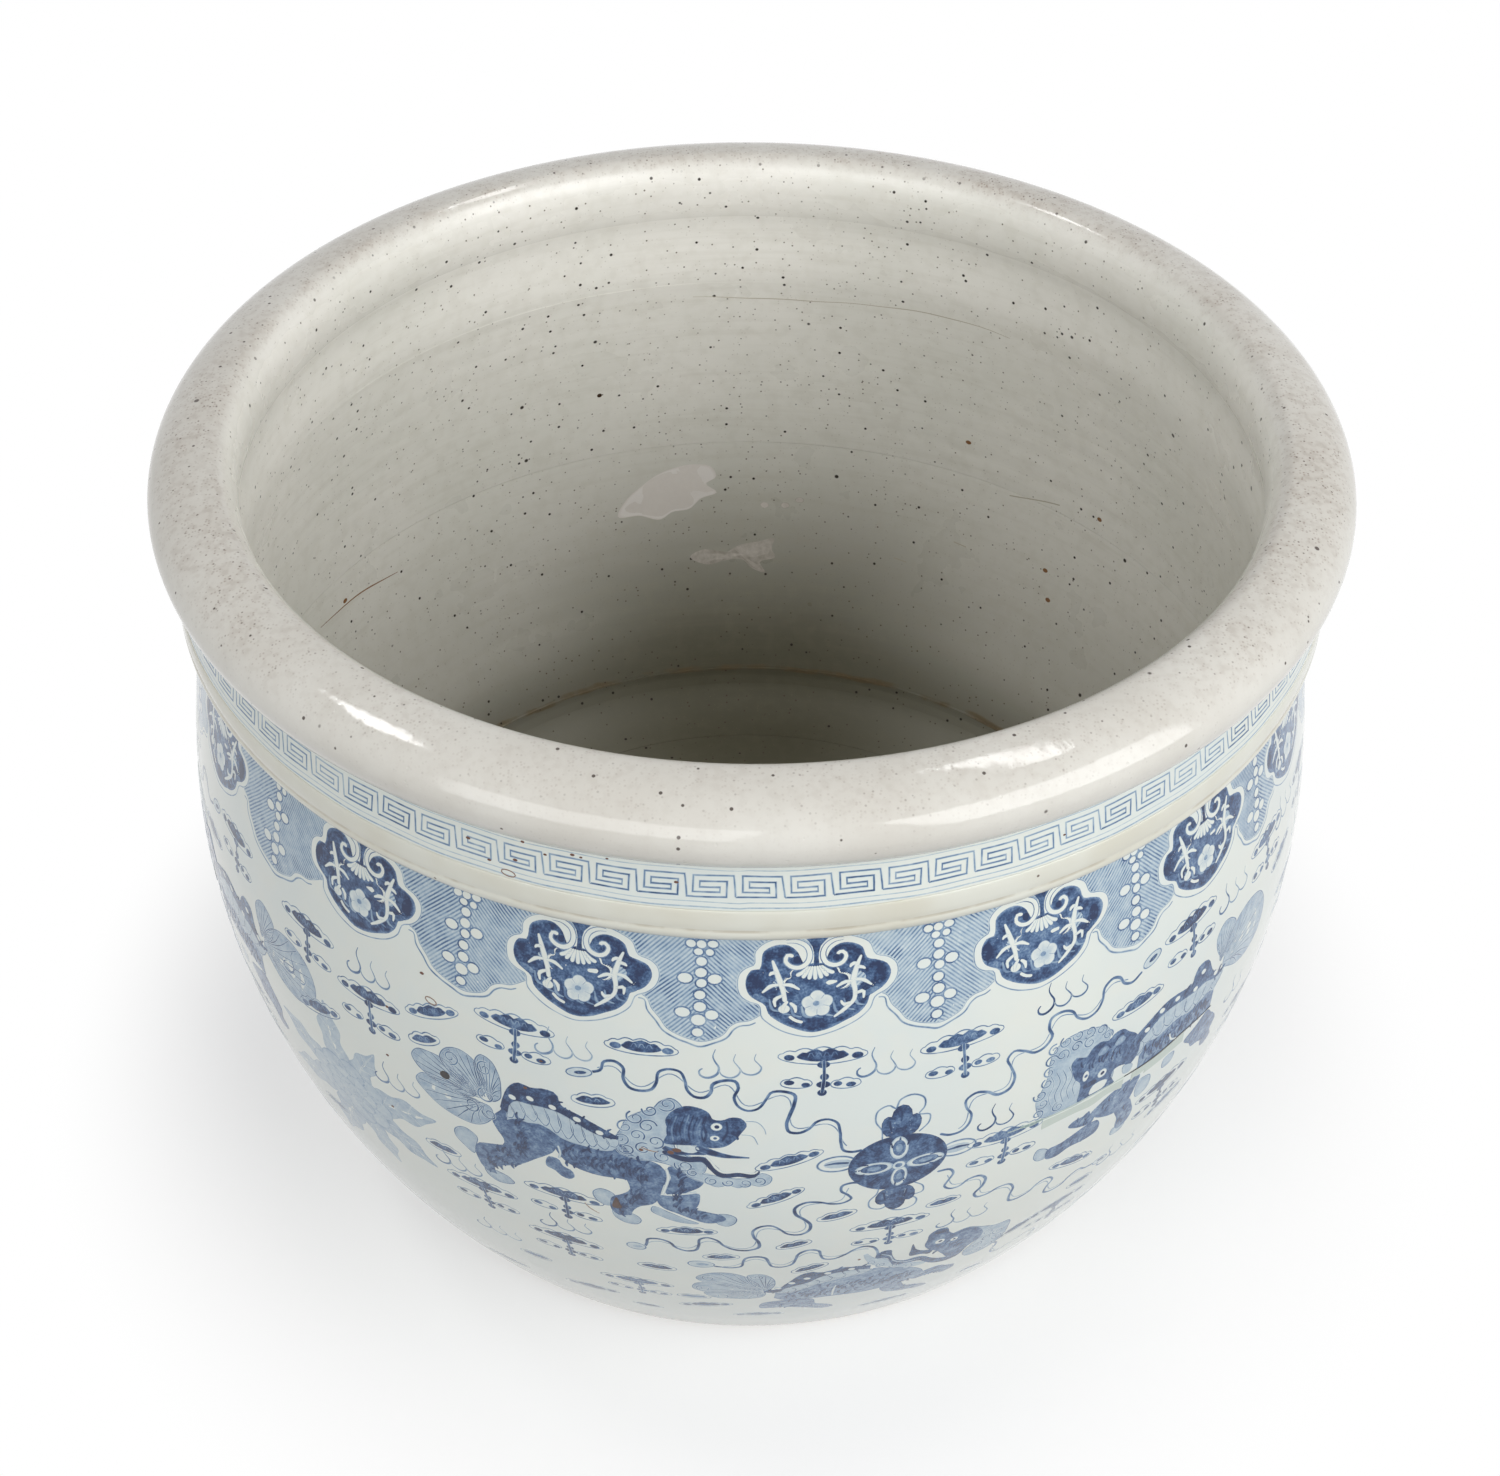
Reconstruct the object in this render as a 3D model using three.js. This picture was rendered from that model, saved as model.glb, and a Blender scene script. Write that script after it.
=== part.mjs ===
// A large porcelain fish bowl, used as a jardiniere, in millimetres with +Z up.
// The bowl is built as its potter builds it: a thrown or coiled ring of clay for each
// stretch of wall, stacked and luted on a floor slab. Every ring is a profile in
// (radius, height) carried once round the axis, and the origin is the middle of the foot.

import * as THREE from 'three';

// Heights, stacked from the table up
const footRecess = 14;
const slabThickness = 30;
const coveRadius = 28;
const bodyHeight = 371;
const seamHeight = 230;
const bellyHeight = 238;
const ribHeight = 26;
const fretHeight = 23;
const rimDrop = 18.6;
const rimRise = 19.4;
const rimSag = 23;

// Radii and what stands out from them
const footRadius = 238;
const bellyRadius = 308;
const shoulderDraw = 19.6;
const wallThickness = 18;
const neckFlare = 8.8;
const neckTaper = 3.9;
const ribProud = 1.2;
const ribCrestDrop = 8;
const ribFootOverhang = 1.6;
const ribDepth = 17;
const rimCrownInset = 15.4;
const rimReach = 32;
const mouthLip = 9.4;

// Joints and edges
const clearance = 0.3;
const lapHeight = 8;
const slabSeat = 12;
const footBevel = 4;
const slabBevel = 3;
const coilLand = 1.5;
const coilSeat = 2;
const edgeEase = 1.5;

// How the body curves away from its belly, and how much of the wall the lap takes
const upperCurvePower = 1.66;
const lowerCurvePower = 1.97;
const lapWidthShare = 0.5;

// Facets
const stepsAround = 64;
const lowerWallSteps = 7;
const upperWallSteps = 5;
const coveSteps = 5;
const ribLowerSteps = 5;
const ribUpperSteps = 2;
const rimUpperSteps = 5;
const rimLowerSteps = 3;
const rimInnerSteps = 4;

// Levels and radii worked out from the sizes above
const floorHeight = footRecess + slabThickness;
const coilBed = floorHeight - coilSeat;
const coilTop = floorHeight + coveRadius;
const ribTop = bodyHeight + ribHeight;
const ribCrest = ribTop - ribCrestDrop;
const neckTop = ribTop + fretHeight;
const rimMiddle = neckTop + rimDrop;
const shoulderRadius = bellyRadius - shoulderDraw;
const neckRadius = shoulderRadius + neckFlare;
const neckInnerRadius = shoulderRadius - wallThickness;
const neckTopRadius = neckRadius - neckTaper;
const ribSeatRadius = neckRadius - ribDepth;
const mouthRadius = neckInnerRadius - mouthLip;
const rimCrownRadius = shoulderRadius - rimCrownInset;

// Outer radius of the body at a height: belly radius less a power of the distance from it
function outerRadius(height) {
  if (height >= bellyHeight) {
    const share = (height - bellyHeight) / (bodyHeight - bellyHeight);
    return bellyRadius - (bellyRadius - shoulderRadius) * share ** upperCurvePower;
  }
  const share = (bellyHeight - height) / bellyHeight;
  return bellyRadius - (bellyRadius - footRadius) * share ** lowerCurvePower;
}

function innerRadius(height) {
  return outerRadius(height) - wallThickness;
}

// Points of a wall face from one height to another, both ends included
function faceOfWall(radiusAt, from, to, steps) {
  const points = [];
  for (let step = 0; step <= steps; step += 1) {
    const height = from + ((to - from) * step) / steps;
    points.push([radiusAt(height), height]);
  }
  return points;
}

// Points of an elliptical arc round a centre, between two angles in radians
function arc(centre, reach, rise, start, end, steps) {
  const points = [];
  for (let step = 0; step <= steps; step += 1) {
    const angle = start + ((end - start) * step) / steps;
    points.push([centre[0] + reach * Math.cos(angle), centre[1] + rise * Math.sin(angle)]);
  }
  return points;
}

// Twice the area that a closed profile encloses, positive when it runs anticlockwise
function doubleArea(points) {
  let sum = 0;
  points.forEach(([radius, height], index) => {
    const [nextRadius, nextHeight] = points[(index + 1) % points.length];
    sum += radius * nextHeight - nextRadius * height;
  });
  return sum;
}

// A solid of revolution from a closed profile of [radius, height] points
function turned(points) {
  const ordered = doubleArea(points) > 0 ? points : [...points].reverse();
  const closed = [...ordered, ordered[0]];
  const profile = closed.map(([radius, height]) => new THREE.Vector2(radius, height));
  return new THREE.LatheGeometry(profile, stepsAround).rotateX(Math.PI / 2);
}

// Radius where the corner coil runs out on the floor
function coilToe() {
  return innerRadius(floorHeight) - clearance - coveRadius;
}

// Thick disc that closes the bottom, standing on the ledge inside the foot, its edge let down
// to take the corner coil
function baseSlab() {
  const radius = innerRadius(footRecess);
  const floorRadius = coilToe() - clearance;
  return turned([
    [0, footRecess],
    [radius - slabBevel, footRecess],
    [radius, footRecess + slabBevel],
    [radius, coilBed],
    [floorRadius, coilBed],
    [floorRadius, floorHeight],
    [0, floorHeight],
  ]);
}

// Coil of clay pressed into the corner of floor and wall, its face a hollow quarter ellipse
function cornerCoil() {
  const side = (height) => innerRadius(height) - clearance;
  const toe = coilToe();
  const reach = side(coilTop) - coilLand - toe;
  const hollow = arc([toe, coilTop], reach, coveRadius, 0, -Math.PI / 2, coveSteps);
  return turned([
    [side(coilTop), coilTop],
    ...hollow,
    [toe, coilBed],
    ...faceOfWall(side, coilBed, coilTop, coveSteps).slice(0, -1),
  ]);
}

// Lower half of the body with the foot, and the tongue of the lap joint at its top
function lowerWall() {
  const slabHole = innerRadius(footRecess) + clearance;
  const ledge = slabHole - slabSeat;
  const tongueRadius = innerRadius(seamHeight) + wallThickness * lapWidthShare;
  return turned([
    [ledge, 0],
    [footRadius - footBevel, 0],
    ...faceOfWall(outerRadius, footBevel, seamHeight, lowerWallSteps),
    [tongueRadius, seamHeight],
    [tongueRadius, seamHeight + lapHeight],
    ...faceOfWall(innerRadius, seamHeight + lapHeight, coilBed, lowerWallSteps),
    [slabHole, coilBed],
    [slabHole, footRecess],
    [ledge, footRecess],
  ]);
}

// Upper half of the body, rebated over the tongue of the lower half
function upperWall() {
  const rebateRadius = innerRadius(seamHeight) + wallThickness * lapWidthShare + clearance;
  const rebateTop = seamHeight + lapHeight + clearance;
  return turned([
    [rebateRadius, seamHeight],
    ...faceOfWall(outerRadius, seamHeight, bodyHeight, upperWallSteps),
    ...faceOfWall(innerRadius, bodyHeight, rebateTop, upperWallSteps),
    [rebateRadius, rebateTop],
  ]);
}

// Rounded moulding round the root of the neck: it swells from the shoulder to a crest just
// proud of the neck, and turns back to meet the neck's face
function shoulderRib() {
  const back = ribSeatRadius + clearance;
  const footEdge = shoulderRadius + ribFootOverhang;
  const swell = neckRadius + ribProud - footEdge;
  const lower = arc([footEdge, ribCrest], swell, ribCrest - bodyHeight, -Math.PI / 2, 0, ribLowerSteps);
  const upper = arc([neckRadius, ribCrest], ribProud, ribCrestDrop, 0, Math.PI / 2, ribUpperSteps);
  return turned([[back, bodyHeight], ...lower, ...upper.slice(1), [back, ribTop]]);
}

// Neck ring: a core behind the rib, then the plain face that carries the fret band
function neckBand() {
  return turned([
    [neckInnerRadius, bodyHeight],
    [ribSeatRadius, bodyHeight],
    [ribSeatRadius, ribTop + clearance],
    [neckRadius - edgeEase, ribTop + clearance],
    [neckRadius, ribTop + clearance + edgeEase],
    [neckTopRadius, neckTop],
    [neckInnerRadius, neckTop],
  ]);
}

// Heavy rolled rim: it reaches far out and turns in tightly, is fuller below its middle than
// above, and is cut flat where it is luted to the neck
function rolledRim() {
  const centre = [rimCrownRadius, rimMiddle];
  const innerReach = rimCrownRadius - mouthRadius;
  const cut = Math.asin(rimDrop / rimSag);
  const outerLower = arc(centre, rimReach, rimSag, -cut, 0, rimLowerSteps);
  const outerUpper = arc(centre, rimReach, rimRise, 0, Math.PI / 2, rimUpperSteps);
  const innerUpper = arc(centre, innerReach, rimRise, Math.PI / 2, Math.PI, rimInnerSteps);
  const innerLower = arc(centre, innerReach, rimSag, Math.PI, Math.PI + cut, rimLowerSteps);
  return turned([...outerLower, ...outerUpper.slice(1), ...innerUpper.slice(1), ...innerLower.slice(1)]);
}

// Fired clay and glaze
const paleGlaze = new THREE.MeshStandardMaterial({ color: 0xdfe3de, roughness: 0.14, metalness: 0 });
const rimGlaze = new THREE.MeshStandardMaterial({ color: 0xd6d0c8, roughness: 0.2, metalness: 0 });
const creamGlaze = new THREE.MeshStandardMaterial({ color: 0xdcd9cd, roughness: 0.16, metalness: 0 });
const innerGlaze = new THREE.MeshStandardMaterial({ color: 0xc4c2b6, roughness: 0.25, metalness: 0 });

function piece(name, geometry, material) {
  const mesh = new THREE.Mesh(geometry, material);
  mesh.name = name;
  return mesh;
}

const fishBowl = new THREE.Group();
fishBowl.name = 'fish_bowl';
fishBowl.add(
  piece('base_slab', baseSlab(), innerGlaze),
  piece('corner_coil', cornerCoil(), innerGlaze),
  piece('lower_wall', lowerWall(), paleGlaze),
  piece('upper_wall', upperWall(), paleGlaze),
  piece('shoulder_rib', shoulderRib(), creamGlaze),
  piece('neck_band', neckBand(), paleGlaze),
  piece('rolled_rim', rolledRim(), rimGlaze),
);

export default fishBowl;
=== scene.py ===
# %% [markdown]
# # A large fish bowl painted in underglaze blue
#
# The real bowl is porcelain: rings of clay thrown on a wheel, luted together, painted with
# cobalt while raw, then covered with a thin bluish glaze and fired once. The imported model
# holds those rings at their true size, with flat facets. This lesson turns each ring again
# with a fine surface, mixes the glazes as node materials, and lays the painting on the wall
# stroke by stroke, as a painter would. All sizes in the script are in millimetres.

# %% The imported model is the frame
import math

import bpy
import numpy as np
from mathutils import Matrix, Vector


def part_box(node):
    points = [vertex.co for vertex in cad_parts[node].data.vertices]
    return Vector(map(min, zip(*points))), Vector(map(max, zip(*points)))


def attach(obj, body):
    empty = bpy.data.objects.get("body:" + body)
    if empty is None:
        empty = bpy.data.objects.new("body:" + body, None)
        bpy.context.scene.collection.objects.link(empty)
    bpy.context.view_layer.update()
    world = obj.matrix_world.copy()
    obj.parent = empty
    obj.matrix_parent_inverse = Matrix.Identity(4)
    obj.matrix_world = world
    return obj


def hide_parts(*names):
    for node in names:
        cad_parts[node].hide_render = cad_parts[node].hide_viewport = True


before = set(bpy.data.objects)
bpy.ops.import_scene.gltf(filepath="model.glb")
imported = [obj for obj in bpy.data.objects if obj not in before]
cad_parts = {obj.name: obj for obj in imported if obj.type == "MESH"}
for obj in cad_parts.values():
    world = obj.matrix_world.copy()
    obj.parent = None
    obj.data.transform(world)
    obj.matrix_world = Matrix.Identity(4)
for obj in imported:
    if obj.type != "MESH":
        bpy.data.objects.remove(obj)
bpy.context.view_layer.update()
MM = 0.001
print("nodes:", sorted(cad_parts))

# %% [markdown]
# ## Levels and radii
#
# The heights where one ring of clay ends and the next begins are read from the frame, so
# that the fine surfaces meet where the solids meet. The curve of the body is a power of the
# distance from the belly, gentler above it than below, as measured on the bowl.

# %% Levels from the frame
def level_of(node, end):
    """Height in mm of a node's lowest (end 0) or highest (end 1) point."""
    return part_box(node)[end][2] / MM


RECESS_Z = level_of("base_slab", 0)
FLOOR_Z = level_of("base_slab", 1)
COVE_TOP = level_of("corner_coil", 1)
SEAM_Z = level_of("upper_wall", 0)
BODY_TOP = level_of("upper_wall", 1)
RIB_TOP = level_of("shoulder_rib", 1)
NECK_TOP = level_of("neck_band", 1)
BOWL_TOP = level_of("rolled_rim", 1)
print("seam, shoulder, neck, rim at", SEAM_Z, BODY_TOP, NECK_TOP, BOWL_TOP)

# %% Radii of the clay
BELLY_Z, BELLY_R = 238, 308
SHOULDER_R, FOOT_R = 288.4, 238
WALL = 18
UPPER_POWER, LOWER_POWER = 1.66, 1.97
NECK_R, NECK_TOP_R = 297.2, 293.3
NECK_INNER_R = SHOULDER_R - WALL
RIB_PROUD, RIB_CREST_DROP, RIB_DEPTH, RIB_ROOT = 1.2, 8, 17, 0.4
RIM_CROWN_R, RIM_REACH, MOUTH_R = 273, 32, 261
RIM_MIDDLE, RIM_SAG, RIM_FLARE = 438.6, 23, 3
COVE = COVE_TOP - FLOOR_Z
LAP_HEIGHT, LAP_SHARE, GAP = 8, 0.5, 0.3
SLAB_SEAT, FOOT_EASE, COIL_SEAT, COIL_LAND = 12, 4, 2, 1.5


def body_radius(z):
    """Belly radius less a power of the distance from the belly, of its own for each half."""
    above = np.clip((z - BELLY_Z) / (BODY_TOP - BELLY_Z), 0, None)
    below = np.clip((BELLY_Z - z) / BELLY_Z, 0, None)
    drawn_in = (BELLY_R - SHOULDER_R) * above**UPPER_POWER
    return BELLY_R - drawn_in - (BELLY_R - FOOT_R) * below**LOWER_POWER


def inner_radius(z):
    """The inner face follows the outer one at the thickness of the wall."""
    return body_radius(z) - WALL


def mid_wall(z):
    """Middle of the wall's thickness."""
    return body_radius(np.clip(z, 0, BODY_TOP)) - WALL * LAP_SHARE


def neck_radius(z):
    """The neck leans in on a straight line from the rib to the rim."""
    share = (z - RIB_TOP) / (NECK_TOP - RIB_TOP)
    return NECK_R + (NECK_TOP_R - NECK_R) * share


print("radius at the seam", round(float(body_radius(SEAM_Z)), 2))

# %% [markdown]
# ## Clay thrown by hand
#
# A thrown wall is never a perfect curve. It sways a little round the wheel, and inside, where
# nobody smooths it, the fingers leave low rings. Both are small functions of the azimuth and
# the height, added to every radius, so that neighbouring rings of clay still meet.
# The azimuth runs from the front of the bowl towards its right side.

# %% Sway of the wall and finger rings
def sway(azimuth, z):
    """Sum of slow sines round the axis and up the wall, between -0.4 and 0 mm."""
    round_axis = 0.10 * np.sin(2 * azimuth + 0.6) + 0.05 * np.sin(3 * azimuth - 1 + z / 90)
    up_wall = 0.03 * np.sin(z / 5 + 0.8 * np.sin(azimuth))
    return round_axis + up_wall - 0.19


def finger_rings(azimuth, z):
    """Rings inside: a sine of the height, every 17 mm or so, that fades in and out."""
    strength = 0.07 + 0.05 * np.sin(3 * azimuth + z / 40)
    return strength * np.sin(2 * math.pi * z / 17 + 1.2 * np.sin(azimuth))


def place(radius, azimuth, z):
    """Points in metres from a radius and a height in mm and an azimuth from the front."""
    east = radius * np.sin(azimuth)
    north = -radius * np.cos(azimuth)
    return np.stack(np.broadcast_arrays(east, north, z), axis=-1) * MM


# %% Mesh from whole arrays
def new_piece(name, points, face_groups, node=None):
    """Object from points (n, 3) and arrays of faces, one array for each number of sides."""
    corners = np.concatenate([group.ravel() for group in face_groups]).astype(np.int32)
    sides = np.concatenate([np.full(len(group), group.shape[1]) for group in face_groups])
    starts = np.concatenate([[0], np.cumsum(sides)[:-1]]).astype(np.int32)
    mesh = bpy.data.meshes.new(name)
    mesh.vertices.add(len(points))
    mesh.vertices.foreach_set("co", np.asarray(points, dtype=np.float32).ravel())
    mesh.loops.add(len(corners))
    mesh.loops.foreach_set("vertex_index", corners)
    mesh.polygons.add(len(sides))
    mesh.polygons.foreach_set("loop_start", starts)
    mesh.update(calc_edges=True)
    mesh.shade_smooth()
    mesh.set_sharp_from_angle(angle=math.radians(40))
    piece = bpy.data.objects.new(name, mesh)
    bpy.context.scene.collection.objects.link(piece)
    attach(piece, "root")
    if node:
        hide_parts(node)
    print(name, "has", int((sides - 2).sum()), "triangles")
    return piece


# %% [markdown]
# ## Turning the rings of clay
#
# Each ring is a closed profile of radius and height, carried once round the axis. The
# profile runs anticlockwise, with the outer face going up, so that every face points out of
# the clay. A disc starts and ends on the axis, where its rows close in one point.

# %% Profiles and the wheel
COLUMNS = 512
ROW = 3


def face_run(radius_at, start, end):
    """Points of a wall face: the radius function on evenly spaced heights."""
    z = np.linspace(start, end, 2 + int(abs(end - start) / ROW))
    return np.column_stack([radius_at(z), z])


def bow(centre, reach, rise, start, end, steps):
    """Elliptical arc: centre plus reach times the cosine and rise times the sine, degrees."""
    angle = np.radians(np.linspace(start, end, steps + 1))
    return np.column_stack([centre[0] + reach * np.cos(angle), centre[1] + rise * np.sin(angle)])


def turned(name, node, profile, uneven):
    """Surface of revolution: each profile point at every azimuth, its radius made uneven."""
    azimuth = np.arange(COLUMNS)[:, None] * 2 * math.pi / COLUMNS
    radius, z = profile[:, 0][None, :], profile[:, 1][None, :]
    on_axis = radius[0] < 1e-6
    grid = place(np.where(on_axis, 0, radius + uneven(azimuth, z)), azimuth, z + 0 * azimuth)
    rows = len(profile)
    index = np.arange(COLUMNS * rows).reshape(COLUMNS, rows)
    index[:, on_axis] = index[0, on_axis]
    after = np.roll(index, -1, axis=0)
    corners = [index, after, np.roll(after, -1, axis=1), np.roll(index, -1, axis=1)]
    caps = []
    if on_axis[0]:
        first = np.stack([index[:, 0], after[:, 1], index[:, 1]], axis=-1)
        last = np.stack([index[:, -2], after[:, -2], index[:, -1]], axis=-1)
        caps = [np.concatenate([first, last])]
        corners = [corner[:, 1 : rows - 2] for corner in corners]
    groups = [np.stack(corners, axis=-1).reshape(-1, 4)] + caps
    used, compact = np.unique(np.concatenate([g.ravel() for g in groups]), return_inverse=True)
    sizes = np.cumsum([g.size for g in groups])[:-1]
    groups = [part.reshape(-1, g.shape[1]) for part, g in zip(np.split(compact, sizes), groups)]
    return new_piece(name, grid.reshape(-1, 3)[used], groups, node)


# %% Slab and coil
def coil_side(z):
    """Outer face of the coil, a gap away from the wall."""
    return inner_radius(z) - GAP


slab_r = inner_radius(RECESS_Z)
coil_toe = inner_radius(FLOOR_Z) - GAP - COVE
slab = np.concatenate([
    np.column_stack([np.linspace(0, slab_r - 3, 40), np.full(40, RECESS_Z)]),
    [[slab_r, RECESS_Z + 3], [slab_r, FLOOR_Z - COIL_SEAT]],
    [[coil_toe - GAP, FLOOR_Z - COIL_SEAT], [coil_toe - GAP, FLOOR_Z]],
    np.column_stack([np.linspace(coil_toe - 3, 0, 60), np.full(60, FLOOR_Z)]),
])
bowl_floor = turned("bowl_floor", "base_slab", slab, sway)

coil_reach = coil_side(COVE_TOP) - COIL_LAND - coil_toe
coil = np.concatenate([
    [[coil_side(COVE_TOP), COVE_TOP]],
    bow([coil_toe, COVE_TOP], coil_reach, COVE, 0, -90, 16),
    [[coil_toe, FLOOR_Z - COIL_SEAT]],
    face_run(coil_side, FLOOR_Z - COIL_SEAT, COVE_TOP)[:-1],
])
corner = turned("corner_cove", "corner_coil", coil, sway)

# %% The two rings of the wall
def wall_uneven(profile):
    """A wall sways as a whole, and its inner face has the finger rings as well."""
    inside = np.where(profile[:, 0] < mid_wall(profile[:, 1]) - 1, 1, 0)[None, :]

    def uneven(azimuth, z):
        return sway(azimuth, z) + inside * finger_rings(azimuth, z)

    return uneven


ledge_r = slab_r + GAP - SLAB_SEAT
tongue_r = inner_radius(SEAM_Z) + WALL * LAP_SHARE
lower = np.concatenate([
    [[ledge_r, RECESS_Z], [ledge_r, 2], [ledge_r + 2, 0]],
    bow([FOOT_R - FOOT_EASE, FOOT_EASE], FOOT_EASE, FOOT_EASE, -90, 0, 5),
    face_run(body_radius, FOOT_EASE, SEAM_Z)[1:],
    [[tongue_r, SEAM_Z], [tongue_r, SEAM_Z + LAP_HEIGHT]],
    face_run(inner_radius, SEAM_Z + LAP_HEIGHT, FLOOR_Z - COIL_SEAT),
    [[slab_r + GAP, FLOOR_Z - COIL_SEAT], [slab_r + GAP, RECESS_Z]],
])
lower_body = turned("lower_body", "lower_wall", lower, wall_uneven(lower))

rebate_z = SEAM_Z + LAP_HEIGHT + GAP
upper = np.concatenate([
    [[tongue_r + GAP, SEAM_Z]],
    face_run(body_radius, SEAM_Z, BODY_TOP),
    face_run(inner_radius, BODY_TOP, rebate_z),
    [[tongue_r + GAP, rebate_z]],
])
upper_body = turned("upper_body", "upper_wall", upper, wall_uneven(upper))

# %% Moulding, neck and rim
rib_back = NECK_R - RIB_DEPTH + GAP
RIB_GROOVE_Z = BODY_TOP + 14.2
rib_under = np.array([
    (0, 0), (1.2, 1), (2.4, 2.1), (3.8, 3.4), (5.2, 4.8), (6.6, 6.2), (7.9, 7.8), (8.9, 9.5), (9.5, 11.3),
    (9.6, 12.8), (9.2, 13.8), (9.1, 14.6), (9.4, 15.6),
])
rib = np.concatenate([
    [[rib_back, BODY_TOP]],
    rib_under + [SHOULDER_R + RIB_ROOT, BODY_TOP],
    bow([NECK_R, RIB_TOP - RIB_CREST_DROP], RIB_PROUD, RIB_CREST_DROP, 0, 90, 8),
    [[rib_back, RIB_TOP]],
])
shoulder_moulding = turned("shoulder_moulding", "shoulder_rib", rib, sway)


def neck_inner(z):
    """Inside the neck: a cubic that carries on the lean of the wall and ends in the rim's."""
    span = NECK_TOP - BODY_TOP
    share = (z - BODY_TOP) / span
    lean = (inner_radius(BODY_TOP) - inner_radius(BODY_TOP - 1)) * span
    end_lean = -2 * RIM_FLARE / (RIM_MIDDLE - NECK_TOP) * span
    start, end = share**2 * (2 * share - 3) + 1, share**2 * (3 - 2 * share)
    bend = lean * share * (1 - share) ** 2 + end_lean * share**2 * (share - 1)
    return NECK_INNER_R * start + (MOUTH_R + RIM_FLARE) * end + bend


def rim_inner(z):
    """Inside the rim: a parabola that is upright at the middle and flares towards the neck."""
    return MOUTH_R + RIM_FLARE * ((RIM_MIDDLE - z) / (RIM_MIDDLE - NECK_TOP)) ** 2


neck = np.concatenate([
    [[NECK_INNER_R, BODY_TOP], [rib_back - GAP, BODY_TOP], [rib_back - GAP, RIB_TOP + GAP]],
    face_run(neck_radius, RIB_TOP + GAP, NECK_TOP),
    face_run(neck_inner, NECK_TOP, BODY_TOP)[:-1],
])
fret_neck = turned("fret_neck", "neck_band", neck, sway)

rise = BOWL_TOP - RIM_MIDDLE
rim_centre = [RIM_CROWN_R, RIM_MIDDLE]
cut = math.degrees(math.asin((RIM_MIDDLE - NECK_TOP) / RIM_SAG))
rim = np.concatenate([
    bow(rim_centre, RIM_REACH, RIM_SAG, -cut, 0, 14),
    bow(rim_centre, RIM_REACH, rise, 0, 90, 26)[1:],
    bow(rim_centre, RIM_CROWN_R - MOUTH_R, rise, 90, 180, 16)[1:],
    face_run(rim_inner, RIM_MIDDLE, NECK_TOP)[1:],
])
rolled_lip = turned("rolled_lip", "rolled_rim", rim, sway)

# %% [markdown]
# ## Shader maths as Python expressions
#
# A glaze is a sum of small effects: a slow change of tone, specks of iron, pinholes, a gloss
# that wavers. Wrapping a socket in a small class lets those be written as formulas, and each
# operator adds its Math node.

# %% Values on a node board
GLAZE_IOR = 1.5


class Value:
    """A number that varies over a surface; arithmetic on it adds Math nodes."""

    def __init__(self, board, socket):
        self.board, self.socket = board, socket

    def math(self, operation, *values):
        """A Math node on this value's board."""
        return self.board.node("ShaderNodeMath", {"operation": operation}, *values)

    def __add__(self, other):
        return self.math("ADD", self, other)

    def __radd__(self, other):
        return self.math("ADD", other, self)

    def __sub__(self, other):
        return self.math("SUBTRACT", self, other)

    def __rsub__(self, other):
        return self.math("SUBTRACT", other, self)

    def __mul__(self, other):
        return self.math("MULTIPLY", self, other)

    def __rmul__(self, other):
        return self.math("MULTIPLY", other, self)

    def __truediv__(self, other):
        return self.math("DIVIDE", self, other)

    def __abs__(self):
        return self.math("ABSOLUTE", self)

    def between(self, low, high):
        """0 below low, 1 above high, and a smooth step from one to the other."""
        settings = {"interpolation_type": "SMOOTHSTEP"}
        return self.board.node("ShaderNodeMapRange", settings, self, low, high, 0.0, 1.0)


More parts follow.
